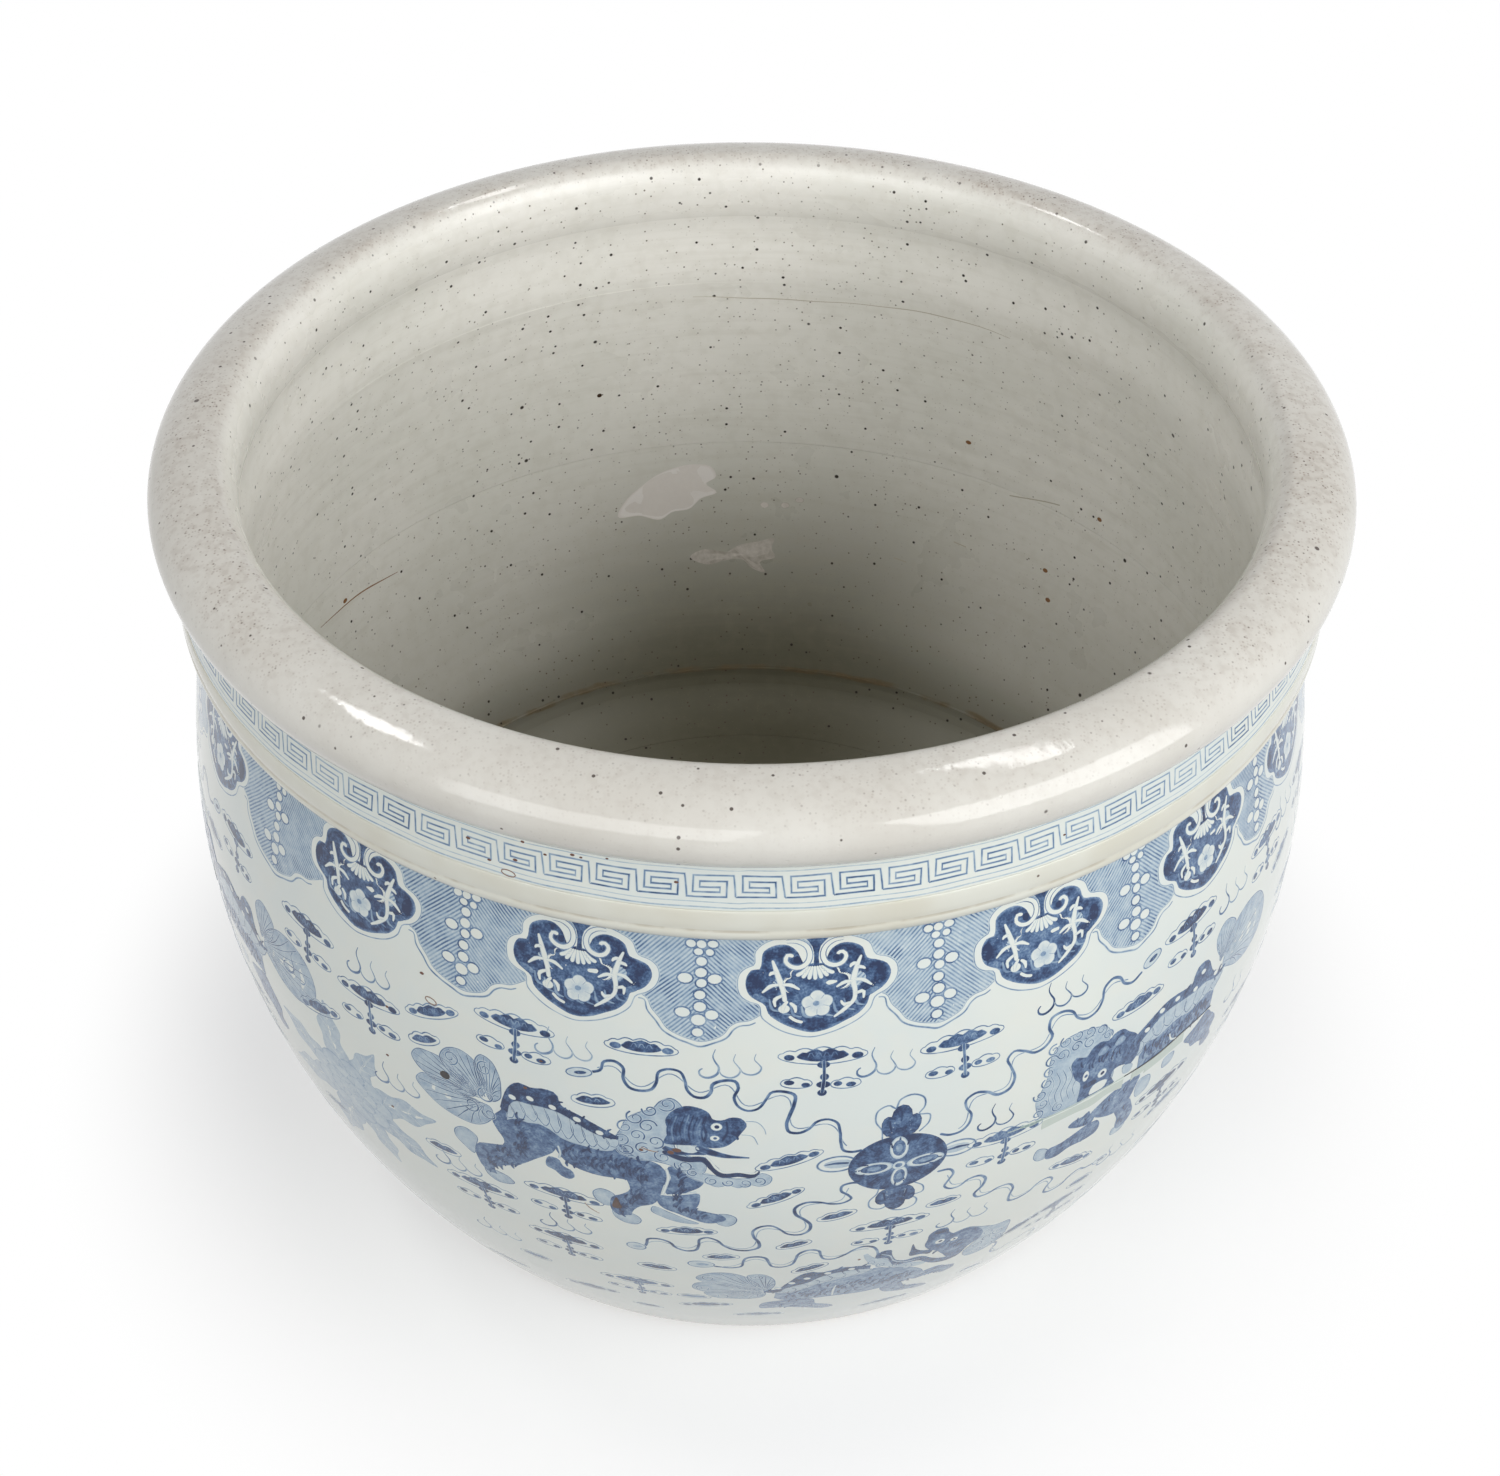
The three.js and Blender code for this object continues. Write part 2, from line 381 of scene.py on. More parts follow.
class Board:
    """The nodes of one material or world, with the object's coordinates in mm."""

    def __init__(self, owner, seat="Object", scale=1 / MM):
        self.owner = owner
        owner.use_nodes = True
        self.tree = owner.node_tree
        self.tree.nodes.clear()
        place_of = self.tree.nodes.new("ShaderNodeTexCoord").outputs[seat]
        self.place = self.vector("SCALE", place_of, Scale=scale)

    def node(self, kind, settings, *values, output=0, **named):
        """Adds any node: its settings first, then values or links into its sockets."""
        made = self.tree.nodes.new(kind)
        for key, value in settings.items():
            setattr(made, key, value)
        free = [socket for socket in made.inputs if socket.enabled]
        wanted = list(zip(free, values))
        wanted += [(made.inputs[key.replace("_", " ")], value) for key, value in named.items()]
        for socket, value in wanted:
            self.join(value, socket)
        return Value(self, [socket for socket in made.outputs if socket.enabled][output])

    def join(self, value, socket):
        """Links a value to a socket, or sets the socket to a plain number or colour."""
        if isinstance(value, Value):
            value = value.socket
        if isinstance(value, bpy.types.NodeSocket):
            self.tree.links.new(value, socket)
        else:
            socket.default_value = value

    def vector(self, operation, *values, **named):
        """A Vector Math node."""
        return self.node("ShaderNodeVectorMath", {"operation": operation}, *values, **named)

    def end(self, kind, socket, result):
        """Closes the board: the last node's result goes to the output."""
        self.join(result, self.tree.nodes.new(kind).inputs[socket])
        return self.owner

    def noise(self, size, detail=2.0, where=None, stretch=(1, 1, 1)):
        """Noise between 0 and 1 whose patches are about as large as size, in mm."""
        scaled = self.vector("MULTIPLY", where or self.place, stretch)
        return self.node("ShaderNodeTexNoise", {}, Vector=scaled, Scale=1 / size, Detail=detail)

    def specks(self, cell, radius, share, edge=0.25):
        """1 inside small spots: one spot in a cell of that size, kept in a share of cells."""
        sockets = {"Vector": self.place, "Scale": 1 / cell}
        distance = self.node("ShaderNodeTexVoronoi", {}, **sockets)
        colour = self.node("ShaderNodeTexVoronoi", {}, output=1, **sockets)
        chance = self.node("ShaderNodeSeparateColor", {}, colour)
        size = radius / cell
        spot = 1 - distance.between(size * (1 - edge), size * (1 + edge))
        return spot * chance.math("LESS_THAN", chance, share)

    def blend(self, mask, start, end):
        """Colour that goes from start to end as the mask goes from 0 to 1."""
        settings = {"data_type": "RGBA", "clamp_factor": True}
        return self.node("ShaderNodeMix", settings, mask, start, end)

    def along(self, axis):
        """Coordinate on one axis: 0 is x, 1 is y and 2 is z."""
        return self.node("ShaderNodeSeparateXYZ", {}, self.place, output=axis)

    def coats(self, colour, *layers):
        """The colour under layers, each a mask and the display colour that it lays on."""
        for mask, shade in layers:
            colour = self.blend(mask, colour, tint(*shade))
        return colour

    def height(self):
        """Height above the table."""
        return self.along(2)

    def reach(self):
        """Distance from the axis in mm."""
        return self.vector("LENGTH", self.vector("MULTIPLY", self.place, (1, 1, 0)))

    def aside(self):
        """Sine of the azimuth, without its sign: 0 at the front and back, 1 at the sides."""
        return abs(self.along(0)) / self.reach()

    def away(self):
        """Cosine of the azimuth: -1 at the front, 1 at the back."""
        return self.along(1) / self.reach()

    def attribute(self, name, output=2):
        """What is stored on the mesh's points: output 1 as a vector, 2 as a number."""
        return self.node("ShaderNodeAttribute", {"attribute_name": name}, output=output)

    def glaze(self, colour, roughness, normal):
        """Closes the board with glossy glaze: colour, roughness and surface relief."""
        looks = {"Base Color": colour, "Roughness": roughness, "Normal": normal, "IOR": GLAZE_IOR}
        shader = self.node("ShaderNodeBsdfPrincipled", {}, **looks)
        return self.end("ShaderNodeOutputMaterial", "Surface", shader)

    def relief(self, height, depth):
        """Normal from a height between 0 and 1 that stands for a depth in mm."""
        return self.node("ShaderNodeBump", {}, Strength=1.0, Distance=depth * MM, Height=height)


def tint(red, green, blue):
    """Linear colour from the 0 to 255 display values in which colours are usually given."""
    share = np.array([red, green, blue]) / 255
    linear = np.where(share <= 0.04045, share / 12.92, ((share + 0.055) / 1.055) ** 2.4)
    return (*[float(v) for v in linear], 1.0)


print("a mid grey is", tint(128, 128, 128))

# %% [markdown]
# ## The glazes
#
# The glaze is thin, glassy and slightly blue. It pools a little greener low on the body, and
# the clay under it holds iron that burns through as brown specks: few on the body, thick as
# pepper on the rim. The foot ring was wiped clean, so its bare clay is buff and dull.

# %% Ground of the painted body
def body_ground(board):
    """Colour of the bare glaze on the body: bluish white that drifts to green and cream."""
    drift = board.noise(90, 3.0).between(0.35, 0.65)
    patches = board.noise(22, 4.0).between(0.4, 0.75)
    return board.coats(tint(218, 223, 217), (drift, (213, 220, 217)), (patches * 0.4, (221, 222, 213)))


def body_relief(board):
    """Faint unevenness of the glaze, and pinholes."""
    orange_peel = board.noise(14, 3.0)
    pinholes = board.specks(16, 0.45, 0.3)
    return board.relief(orange_peel * 0.5 + (1 - pinholes) * 0.5, 0.12)


def body_gloss(board):
    """Roughness of the glaze: glassy, duller in worn patches."""
    return 0.05 + 0.06 * board.noise(45, 4.0)


def new_board(name):
    """Board of a new material."""
    return Board(bpy.data.materials.new(name))


def make_pale_glaze():
    """Glaze of the body and neck, with a few brown specks and bare clay at the foot."""
    board = new_board("pale_glaze")
    brown = board.specks(42, 0.55, 0.35) * 0.75 + board.specks(90, 1.1, 0.25) * 0.8
    bare = 1 - (board.height() + board.noise(9) * 2).between(3.2, 4.4)
    colour = board.coats(body_ground(board), (brown, (96, 74, 58)), (bare, (196, 178, 150)))
    return board.glaze(colour, body_gloss(board) + bare * 0.5, body_relief(board))


pale_glaze = make_pale_glaze()

# %% Rim, moulding and inside
# Painted shade inside the bowl starts at 292 mm and deepens down to the floor; 0.55 sets how much of it is
# eased on the floor.
SHADE_TOP, FLOOR_SIDE = 292, 0.55


def low_down(height):
    """1 on the floor and the coil, fading out over the lowest 46 mm of the wall."""
    return 1 - height.between(COVE_TOP - 2, COVE_TOP + 46)


def inner_wall(board, height):
    """Colour inside: grey green, with painted shade low down that is deepest at the back, peppered with iron.
    """
    drift = board.noise(120, 4.0).between(0.3, 0.7)
    # Painted shade: darker from 292 mm down to the floor, less at the sides of the bowl than at its back and
    # front.
    wall = board.reach().between(80, 200)
    side = board.aside().between(0.12, 0.7) * wall + FLOOR_SIDE * (1 - wall)
    depth = (1 - height.between(FLOOR_Z + 6, SHADE_TOP)) * (1 - 0.52 * side)
    wheel = board.noise(4, 4.0, stretch=(0.05, 0.05, 1)).between(0.45, 0.8)
    cloudy = board.noise(9, 6.0).between(0.42, 0.72)
    tide = abs(height - COVE_TOP + board.noise(30, 4.0) * 8 - 4)
    ring = (1 - tide.between(0.4, 2.2)) * board.noise(25, 3.0).between(0.35, 0.6)
    return board.coats(
        tint(241, 239, 232),
        (drift, (233, 232, 224)),
        # painted shade low down inside
        (depth, (108, 105, 88)),
        (wheel * 0.12, (176, 170, 150)),
        (cloudy * 0.12, (178, 172, 152)),
        # painted shade on the floor and the coil
        (low_down(height) * 0.66, (104, 101, 84)),
        (ring * 0.8, (120, 102, 74)),
        (board.specks(2.6, 0.42, 0.4, 0.6) * 0.3, (140, 128, 108)),
        (board.specks(4.4, 0.55, 0.45, 0.4) * 0.9, (84, 68, 54)),
        (board.specks(9, 0.95, 0.42) + board.specks(26, 1.4, 0.4), (40, 31, 26)),
    )


def make_rim_glaze():
    """Glaze of the rim: iron gathers on its crown, least of all at the very front."""
    board = new_board("rim_glaze")
    height = board.height()
    drift = board.noise(70, 4.0).between(0.35, 0.7)
    inner = 1 - board.reach().between(MOUTH_R, RIM_CROWN_R - 3)
    low = 1 - height.between(NECK_TOP, NECK_TOP + 14)
    crown = height.between(RIM_MIDDLE + 4, BOWL_TOP - 1)
    bloom = board.noise(26, 5.0).between(0.3, 0.7)
    iron_rich = crown * (0.35 + 0.65 * bloom) * (0.35 + 0.65 * board.away().between(-0.96, -0.4))
    mottle = board.noise(4.5, 5.0).between(0.42, 0.7) * (0.08 + 0.92 * iron_rich)
    pepper = board.specks(1.7, 0.5, 0.45, 0.6) * (0.06 + 0.94 * iron_rich)
    fine = board.specks(3.4, 0.52, 0.42, 0.4) * (0.12 + 0.88 * iron_rich)
    iron = board.specks(7.5, 0.85, 0.35) + board.specks(24, 1.35, 0.35)
    colour = board.coats(
        tint(214, 212, 205),
        (drift, (204, 201, 193)),
        (low * (1 - inner) * 0.5, (220, 219, 208)),
        (iron_rich * 0.8, (198, 193, 184)),
        (mottle * 0.5, (166, 155, 144)),
        (pepper * 0.6, (132, 110, 96)),
        (fine * 0.9, (88, 70, 60)),
        (iron * 0.9, (58, 42, 36)),
    )
    colour = board.blend(inner, colour, inner_wall(board, height))
    peel = board.noise(8, 4.0) * 0.6 + (1 - board.specks(7, 0.7, 0.35)) * 0.4
    gloss = 0.05 + 0.07 * board.noise(35, 4.0) + inner * (0.12 + 0.15 * board.noise(50, 4.0))
    return board.glaze(colour, gloss, board.relief(peel, 0.25))


def make_cream_glaze():
    """Glaze of the moulding: thick and cream, stained below, with painted shade along the groove."""
    board = new_board("cream_glaze")
    height = board.height()
    drift = board.noise(60, 3.0).between(0.35, 0.65)
    streak = board.noise(10, 4.0, stretch=(1, 1, 6)).between(0.5, 0.8)
    low = 1 - height.between(BODY_TOP + 4, BODY_TOP + 15)
    # Painted shade: a darker line along the groove, broken up by noise.
    worn = (1 - abs(height - RIB_GROOVE_Z).between(0.3, 1.1)) * board.noise(14, 4.0).between(0.35, 0.65)
    colour = board.coats(
        tint(216, 217, 207),
        (drift, (208, 206, 192)),
        (low * streak * 0.7, (178, 158, 128)),
        # painted shade in the groove
        (worn * 0.55, (168, 156, 134)),
        (board.specks(14, 0.7, 0.4) * 0.85, (84, 58, 44)),
    )
    gloss = 0.05 + 0.06 * board.noise(40, 3.0)
    return board.glaze(colour, gloss, board.relief(board.noise(12, 3.0), 0.15))


def make_inner_glaze():
    """Glaze inside, finely scratched round the axis, and dull low down, where painted shade darkens its
    colour.
    """
    board = new_board("inner_glaze")
    height = board.height()
    scratches = board.noise(3, 3.0, stretch=(0.08, 0.08, 1))
    gloss = 0.2 + 0.2 * board.noise(50, 4.0) + 0.3 * low_down(height)
    relief = board.relief(scratches * 0.4 + board.noise(12, 4.0) * 0.6, 0.2)
    return board.glaze(inner_wall(board, height), gloss, relief)


rim_glaze = make_rim_glaze()
cream_glaze = make_cream_glaze()
inner_glaze = make_inner_glaze()

# %% Glazing the rings
def glaze_walls(piece, outer, inner, face_radius):
    """Two glazes on one ring: a face is inside when its centre is nearer the axis."""
    piece.data.materials.append(outer)
    piece.data.materials.append(inner)
    count = len(piece.data.polygons)
    centres = np.empty(count * 3)
    piece.data.polygons.foreach_get("center", centres)
    centres = centres.reshape(-1, 3) / MM
    reach = np.hypot(centres[:, 0], centres[:, 1])
    inside = (reach < face_radius(centres[:, 2])) & (centres[:, 2] > RECESS_Z)
    piece.data.polygons.foreach_set("material_index", inside.astype(np.int32))
    print(piece.name, "has", int(inside.sum()), "inner faces")


def mid_neck(z):
    """Middle of the neck's thickness, the same all the way up."""
    return NECK_INNER_R + WALL * LAP_SHARE + 0 * z


for ring_of_clay, middle_at in ((lower_body, mid_wall), (upper_body, mid_wall), (fret_neck, mid_neck)):
    glaze_walls(ring_of_clay, pale_glaze, inner_glaze, middle_at)
for ring_of_clay in (bowl_floor, corner):
    ring_of_clay.data.materials.append(inner_glaze)
shoulder_moulding.data.materials.append(cream_glaze)
rolled_lip.data.materials.append(rim_glaze)

# %% [markdown]
# ## The sheet that the painter works on
#
# The painting wraps round the wall like a sheet of paper. On that sheet x runs round the
# bowl, in mm along the belly from the middle of the front, and y runs up the wall from the
# table, in mm along its curve. On the neck y is simply the height above the moulding.
# A painter's hand is never quite steady, so the sheet is rippled a little before it is laid on.

# %% From the sheet to the clay
wall_z = np.linspace(0, BODY_TOP, 1200)
wall_y = np.concatenate([[0], np.cumsum(np.hypot(np.diff(body_radius(wall_z)), np.diff(wall_z)))])
SHEET_TOP = float(wall_y[-1])
ROUND = 2 * math.pi * BELLY_R


def raised(radius_at, azimuth, z, lift):
    """Point of a turned face, moved along the face's normal by lift in mm."""
    slope = radius_at(z + 0.5) - radius_at(z - 0.5)
    steep = np.sqrt(1 + slope**2)
    return place(radius_at(z) + sway(azimuth, z) + lift / steep, azimuth, z - lift * slope / steep)


def on_body(x, y, lift):
    """Sheet to body: azimuth is x over the belly radius, height from the length of the curve."""
    return raised(body_radius, x / BELLY_R, np.interp(y, wall_y, wall_z), lift)


def on_neck(x, y, lift):
    """Sheet to neck: y is the height above the moulding."""
    return raised(neck_radius, x / BELLY_R, RIB_TOP + y, lift)


def on_inside(x, y, lift):
    """Sheet to the inner face, where y is the height above the table."""
    azimuth = x / BELLY_R
    return place(inner_radius(y) + sway(azimuth, y) + finger_rings(azimuth, y) - lift, azimuth, y)


def unsteady(x, y):
    """A slow ripple of about 0.3 mm, as of a hand."""
    across = 0.3 * np.sin(y / 7 + 1.9 * np.sin(x / 19))
    up = 0.25 * np.sin(x / 8 + 1.6 * np.sin(y / 17) + 1)
    return x + across, y + up


print("the sheet is", round(ROUND), "mm round and", round(SHEET_TOP), "mm high")

# %% [markdown]
# ## Strokes, spans and patches
#
# Cobalt under glaze is a layer of colour with no thickness to speak of. Here each stroke is a
# closed film that stands a few hundredths of a millimetre out of the wall, and later strokes
# lie a little higher, so that they cover earlier ones as paint does. Every point carries its
# ink, from 0 for bare glaze to 1 for the deepest cobalt, and the ink thins towards the edges.

# %% Curves through a painter's points
def lengths(points):
    """Length of the line of points up to each point."""
    return np.concatenate([[0], np.cumsum(np.hypot(*np.diff(points, axis=0).T))])


def spin(degrees):
    """Matrix that turns points, as rows, anticlockwise."""
    angle = math.radians(degrees)
    return np.array([[math.cos(angle), math.sin(angle)], [-math.sin(angle), math.cos(angle)]])


def oval(x, y, reach, rise, count, turn=0.0):
    """Points of an ellipse by its half widths, which may change from point to point."""
    angle = np.linspace(0, 2 * math.pi, count, endpoint=False)
    return np.column_stack([reach * np.cos(angle), rise * np.sin(angle)]) @ spin(turn) + [x, y]


def curve(points, spacing=1.6, closed=False, ends=()):
    """Smooth curve through points: cubic pieces whose slopes follow the neighbouring points."""
    points = np.asarray(points, dtype=float)
    count = len(points)
    if closed:
        points = np.concatenate([points[-2:], points, points[:3]])
    along = lengths(points)
    slopes = np.gradient(points, along, axis=0)
    first, last = (along[2], along[count + 2]) if closed else (0, along[-1])
    steps = max(3, int(round((last - first) / spacing)))
    where = np.linspace(first, last, steps + 1)[: steps if closed else None]
    ends = np.array(ends, dtype=float)
    where = np.unique(np.concatenate([where, ends, last - ends]))
    where = where[(where >= first) & (where <= last)]
    piece = np.clip(np.searchsorted(along, where, side="right") - 1, 0, len(along) - 2)
    gap = along[piece + 1] - along[piece]
    share = (where - along[piece]) / gap
    weights = [
        (1 + 2 * share) * (1 - share) ** 2, share * (1 - share) ** 2 * gap,
        share**2 * (3 - 2 * share), share**2 * (share - 1) * gap,
    ]
    parts = [points[piece], slopes[piece], points[piece + 1], slopes[piece + 1]]
    return sum(weight[:, None] * part for weight, part in zip(weights, parts)), where - first


def resampled(points, steps):
    """The same curve cut into equal steps along its length."""
    points = np.asarray(points, dtype=float)
    along = lengths(points)
    where = np.linspace(0, along[-1], steps + 1)
    return np.column_stack([np.interp(where, along, points[:, axis]) for axis in (0, 1)])


# %% Films of colour
class Painting:
    """Films of colour on one kind of surface, gathered into one mesh."""

    LIFT, STEP, BED = 0.02, 0.015, 0.08

    def __init__(self, on_clay, seed):
        self.on_clay = on_clay
        self.points, self.ink, self.brush, self.faces = [], [], [], {}
        self.used, self.films = 0, 0
        self.chance = np.random.default_rng(seed)
        self.at()

    def at(self, x=0.0, y=0.0, turn=0.0, size=1.0):
        """Moves the origin of the strokes that follow, turned by degrees and scaled."""
        self.origin = np.array([x, y], dtype=float)
        self.turn = size * spin(turn)

    def put(self, points):
        """Points of a stroke, moved to where the motif stands."""
        return np.asarray(points, dtype=float) @ self.turn + self.origin

    def keep(self, top, ink, edge, level, brush, faces):
        """Stores one film: its top points, then its edge points again, let into the clay."""
        x, y = unsteady(top[:, 0], top[:, 1])
        high = self.on_clay(x, y, self.LIFT + self.STEP * level)
        low = self.on_clay(x[edge], y[edge], -self.BED)
        ink = ink * (1 + 0.12 * self.chance.uniform(-1, 1))
        self.films += 1
        self.points += [high, low]
        self.ink += [ink, ink[edge]]
        brush = np.column_stack([brush, np.full(len(top), self.films * 7.3 % 200)])
        self.brush += [brush, brush[edge]]
        for face in faces:
            self.faces.setdefault(face.shape[1], []).append(face + self.used)
        self.used += len(top) + len(edge)

    def film(self, grid, ink, level, closed=False, brush=None):
        """Film from a grid (steps, across, 2) of sheet points and its ink."""
        steps, across = grid.shape[:2]
        along, over = np.diff(grid, axis=0)[:, :-1], np.diff(grid, axis=1)[:-1]
        ink = np.broadcast_to(ink, (steps, across))
        brush = grid if brush is None else brush
        if np.sum(along[..., 0] * over[..., 1] - along[..., 1] * over[..., 0]) < 0:
            grid, ink, brush = grid[:, ::-1], ink[:, ::-1], brush[:, ::-1]
        top = np.arange(steps * across).reshape(steps, across)
        low = steps * across + np.arange(2 * steps).reshape(steps, 2)
        now = slice(None) if closed else slice(0, -1)
        after, below = np.roll(top, -1, axis=0), np.roll(low, -1, axis=0)
        sides = [
            (top[:, :-1], after[:, :-1], after[:, 1:], top[:, 1:]),
            (low[:, 0], below[:, 0], after[:, 0], top[:, 0]),
            (top[:, -1], after[:, -1], below[:, 1], low[:, 1]),
            (below[:, 0], low[:, 0], low[:, 1], below[:, 1]),
        ]
        faces = [np.concatenate([np.stack(side, axis=-1)[now].reshape(-1, 4) for side in sides])]
        if not closed:
            faces.append(np.concatenate([top[0], low[0, ::-1]])[None])
            faces.append(np.concatenate([top[-1, ::-1], low[-1]])[None])
        edge = top[:, [0, -1]].ravel()
        self.keep(grid.reshape(-1, 2), ink.ravel(), edge, level, brush.reshape(-1, 2), faces)

    def stroke(self, points, width, ink, level, fade=0.0, closed=False, spacing=1.6, sharp=False):
        """Brush stroke: a curve carries a width (one or a list), rounded off at its ends."""
        points = self.put(points)
        widths = np.atleast_1d(np.asarray(width, dtype=float))
        half = float(widths.max()) / 2
        if sharp:
            path, along = points, lengths(points)
        else:
            path, along = curve(points, spacing, closed, () if closed else (0.15 * half, 0.5 * half, half))
        shares = np.linspace(0, along[-1], len(widths))
        wide = np.interp(along, shares, widths) / 2
        if not closed and not sharp:
            near = np.clip(np.minimum(along, along[-1] - along) / np.maximum(wide, 0.1), 0, 1)
            wide = wide * np.maximum(np.sqrt(1 - (1 - near) ** 2), 0.12)
        if closed:
            forward = np.roll(path, -1, axis=0) - np.roll(path, 1, axis=0)
        else:
            forward = np.gradient(path, axis=0)
        forward = forward / np.hypot(*forward.T)[:, None]
        side = np.column_stack([-forward[:, 1], forward[:, 0]])
        if sharp:
            legs = np.diff(path, axis=0) / np.hypot(*np.diff(path, axis=0).T)[:, None]
            before, after = np.vstack([legs[:1], legs]), np.vstack([legs, legs[-1:]])
            half_turn = np.sqrt(np.clip((1 + (before * after).sum(axis=1)) / 2, 0.3, 1))
            side = side / half_turn[:, None]
        across = np.array([-1, 0, 1.0]) if half < 0.9 else np.array([-1, -0.62, 0.62, 1.0])
        grid = path[:, None, :] + side[:, None, :] * (wide[:, None] * across)[..., None]
        inks = np.atleast_1d(np.asarray(ink, dtype=float))
        body = np.interp(along, np.linspace(0, along[-1], len(inks)), inks)[:, None]
        soft = np.where(np.abs(across) == 1, 1, 0)[None, :]
        brush = np.stack(np.broadcast_arrays(along[:, None] * 0.2, wide[:, None] * across), axis=-1)
        self.film(grid, body * (1 - soft) + fade * soft, level, closed, brush)

    def span(self, one, other, ink, level, fade=0.0, spacing=3.0, across=7):
        """Fill between two edges: straight lines from each point of one to one of the other."""
        one, other = curve(self.put(one), 1.0)[0], curve(self.put(other), 1.0)[0]
        steps = max(4, int(max(lengths(one)[-1], lengths(other)[-1]) / spacing))
        share = np.concatenate([[0, 0.05], np.linspace(0.18, 0.82, across - 4), [0.95, 1]])
        one, other = resampled(one, steps), resampled(other, steps)
        grid = one[:, None, :] * (1 - share[:, None]) + other[:, None, :] * share[:, None]
        soft = np.where((share == 0) | (share == 1), 1, 0)[None, :]
        self.film(grid, ink * (1 - soft) + fade * soft, level)

    def patch(self, outline, ink, level, fade=0.0, centre=None, spacing=2.0, rings=(0.4, 0.75, 0.93, 1)):
        """Fill of an outline that is seen whole from its centre, as rings round the centre."""
        edge_line = self.put(outline)
        if spacing:
            edge_line = curve(edge_line, spacing, closed=True)[0]
        after = np.roll(edge_line, -1, axis=0)
        if np.sum(edge_line[:, 0] * after[:, 1] - edge_line[:, 1] * after[:, 0]) < 0:
            edge_line = edge_line[::-1]
        middle = edge_line.mean(axis=0) if centre is None else self.put([centre])[0]
        count = len(edge_line)
        share = np.array(rings)[:, None, None]
        top = np.concatenate([middle[None], (middle + share * (edge_line - middle)).reshape(-1, 2)])
        inks = np.atleast_1d(np.asarray(ink, dtype=float))
        steps = np.interp(np.array(rings[:-1]), np.linspace(0, 1, len(inks)), inks)
        tones = np.concatenate([[inks[0]], np.repeat(np.append(steps, fade), count)])
        ring = 1 + np.arange(len(rings) * count).reshape(len(rings), count)
        turned_on = np.roll(ring, -1, axis=1)
        low = 1 + len(rings) * count + np.arange(count)
        low_on = np.roll(low, -1)
        faces = [
            np.column_stack([np.zeros(count, dtype=int), ring[0], turned_on[0]]),
            np.stack([ring[:-1], ring[1:], turned_on[1:], turned_on[:-1]], axis=-1).reshape(-1, 4),
            np.column_stack([low, low_on, turned_on[-1], ring[-1]]),
            low[::-1][None],
        ]
        self.keep(top, tones, ring[-1], level, top, faces)

    def dab(self, x, y, reach, rise, ink, level, turn=0.0, fade=0.0, points=12):
        """Round touch of the brush: an ellipse with its half widths."""
        outline = oval(x, y, reach, rise, points, turn)
        self.patch(outline, ink, level, fade, (x, y), None, (0.55, 0.85, 1))

    def dry(self, name, material):
        """Makes the mesh, with the ink and the way of the brush stored on its points."""
        groups = [np.concatenate(group) for sides, group in sorted(self.faces.items())]
        piece = new_piece(name, np.concatenate(self.points), groups)
        ink = piece.data.attributes.new("ink", "FLOAT", "POINT")
        ink.data.foreach_set("value", np.concatenate(self.ink).astype(np.float32))
        brush = piece.data.attributes.new("brush", "FLOAT_VECTOR", "POINT")
        brush.data.foreach_set("vector", np.concatenate(self.brush).astype(np.float32).ravel())
        piece.data.materials.append(material)
        print(name, "has", self.films, "films")
        return piece


# %% [markdown]
# ## Cobalt
#
# Cobalt goes from a pale watery blue to nearly black where it is thick. In a wash it dries in
# clouds, and along a stroke in streaks, because the brush holds more on one side. Where the
# ink runs out the film takes the colour of the bare glaze, so its edge can't be seen.

# %% Cobalt under glaze
COBALT_TONES = [
    (206, 215, 214), (172, 189, 200), (126, 151, 177), (78, 108, 146), (40, 71, 113), (10, 38, 80),
]
HATCH_PITCH = 1.75


def ink_colour(board, ink):
    """Ramp of the cobalt tones, laid over the colour of the bare glaze."""
    ramp = board.tree.nodes.new("ShaderNodeValToRGB")
    for _ in COBALT_TONES[2:]:
        ramp.color_ramp.elements.new(0.5)
    for index, (element, shade) in enumerate(zip(ramp.color_ramp.elements, COBALT_TONES)):
        element.position, element.color = index / 5, tint(*shade)
    board.join(ink, ramp.inputs["Fac"])
    cobalt = Value(board, ramp.outputs["Color"])
    return board.blend(ink.between(0.0, 0.16), body_ground(board), cobalt)


def make_cobalt(name, hatched=False):
    """Cobalt by the ink of its films, streaked along the brush; hatched for the lappets."""
    board = new_board(name)
    ink = board.attribute("ink")
    streaks = board.noise(1.2, 3.0, where=board.attribute("brush", 1)).between(0.25, 0.75)
    clouds = board.noise(5, 5.0).between(0.25, 0.75)
    tone = ink * (0.56 + 0.34 * streaks + 0.54 * clouds)
    if hatched:
        line = board.attribute("hatch") / HATCH_PITCH + board.noise(26, 2.0) * 0.9
        wave = line.math("PINGPONG", line, 0.5)
        dipped = 0.5 + 0.7 * board.noise(24, 2.0).between(0.4, 0.6)
        load = board.noise(8, 4.0).between(0.35, 0.65) * dipped
        dark = wave.between(0.18, 0.36) * (0.4 + 0.8 * load)
        tone = tone * 0.68 + dark * 0.36 * ink.between(0.1, 0.2)
    return board.glaze(ink_colour(board, tone), body_gloss(board), body_relief(board))


cobalt = make_cobalt("cobalt")

# %% [markdown]
# ## Key fret on the neck
#
# A fret is one thin line that winds into each unit and out again. Eighty eight units go round
# the neck, drawn freehand, so a few are darker where the brush was freshly dipped.

# %% Fret
FRET_UNITS = 88
FRET_PATH = [
    (0, 7.3), (18, 7.3), (18, 15.3), (6, 15.3), (6, 12.3), (15, 12.3),
    (15, 9.8), (3, 9.8), (3, 18.3), (21, 18.3), (22, 7.3),
]
FRET_START, FRET_WIDTH = -28, 22


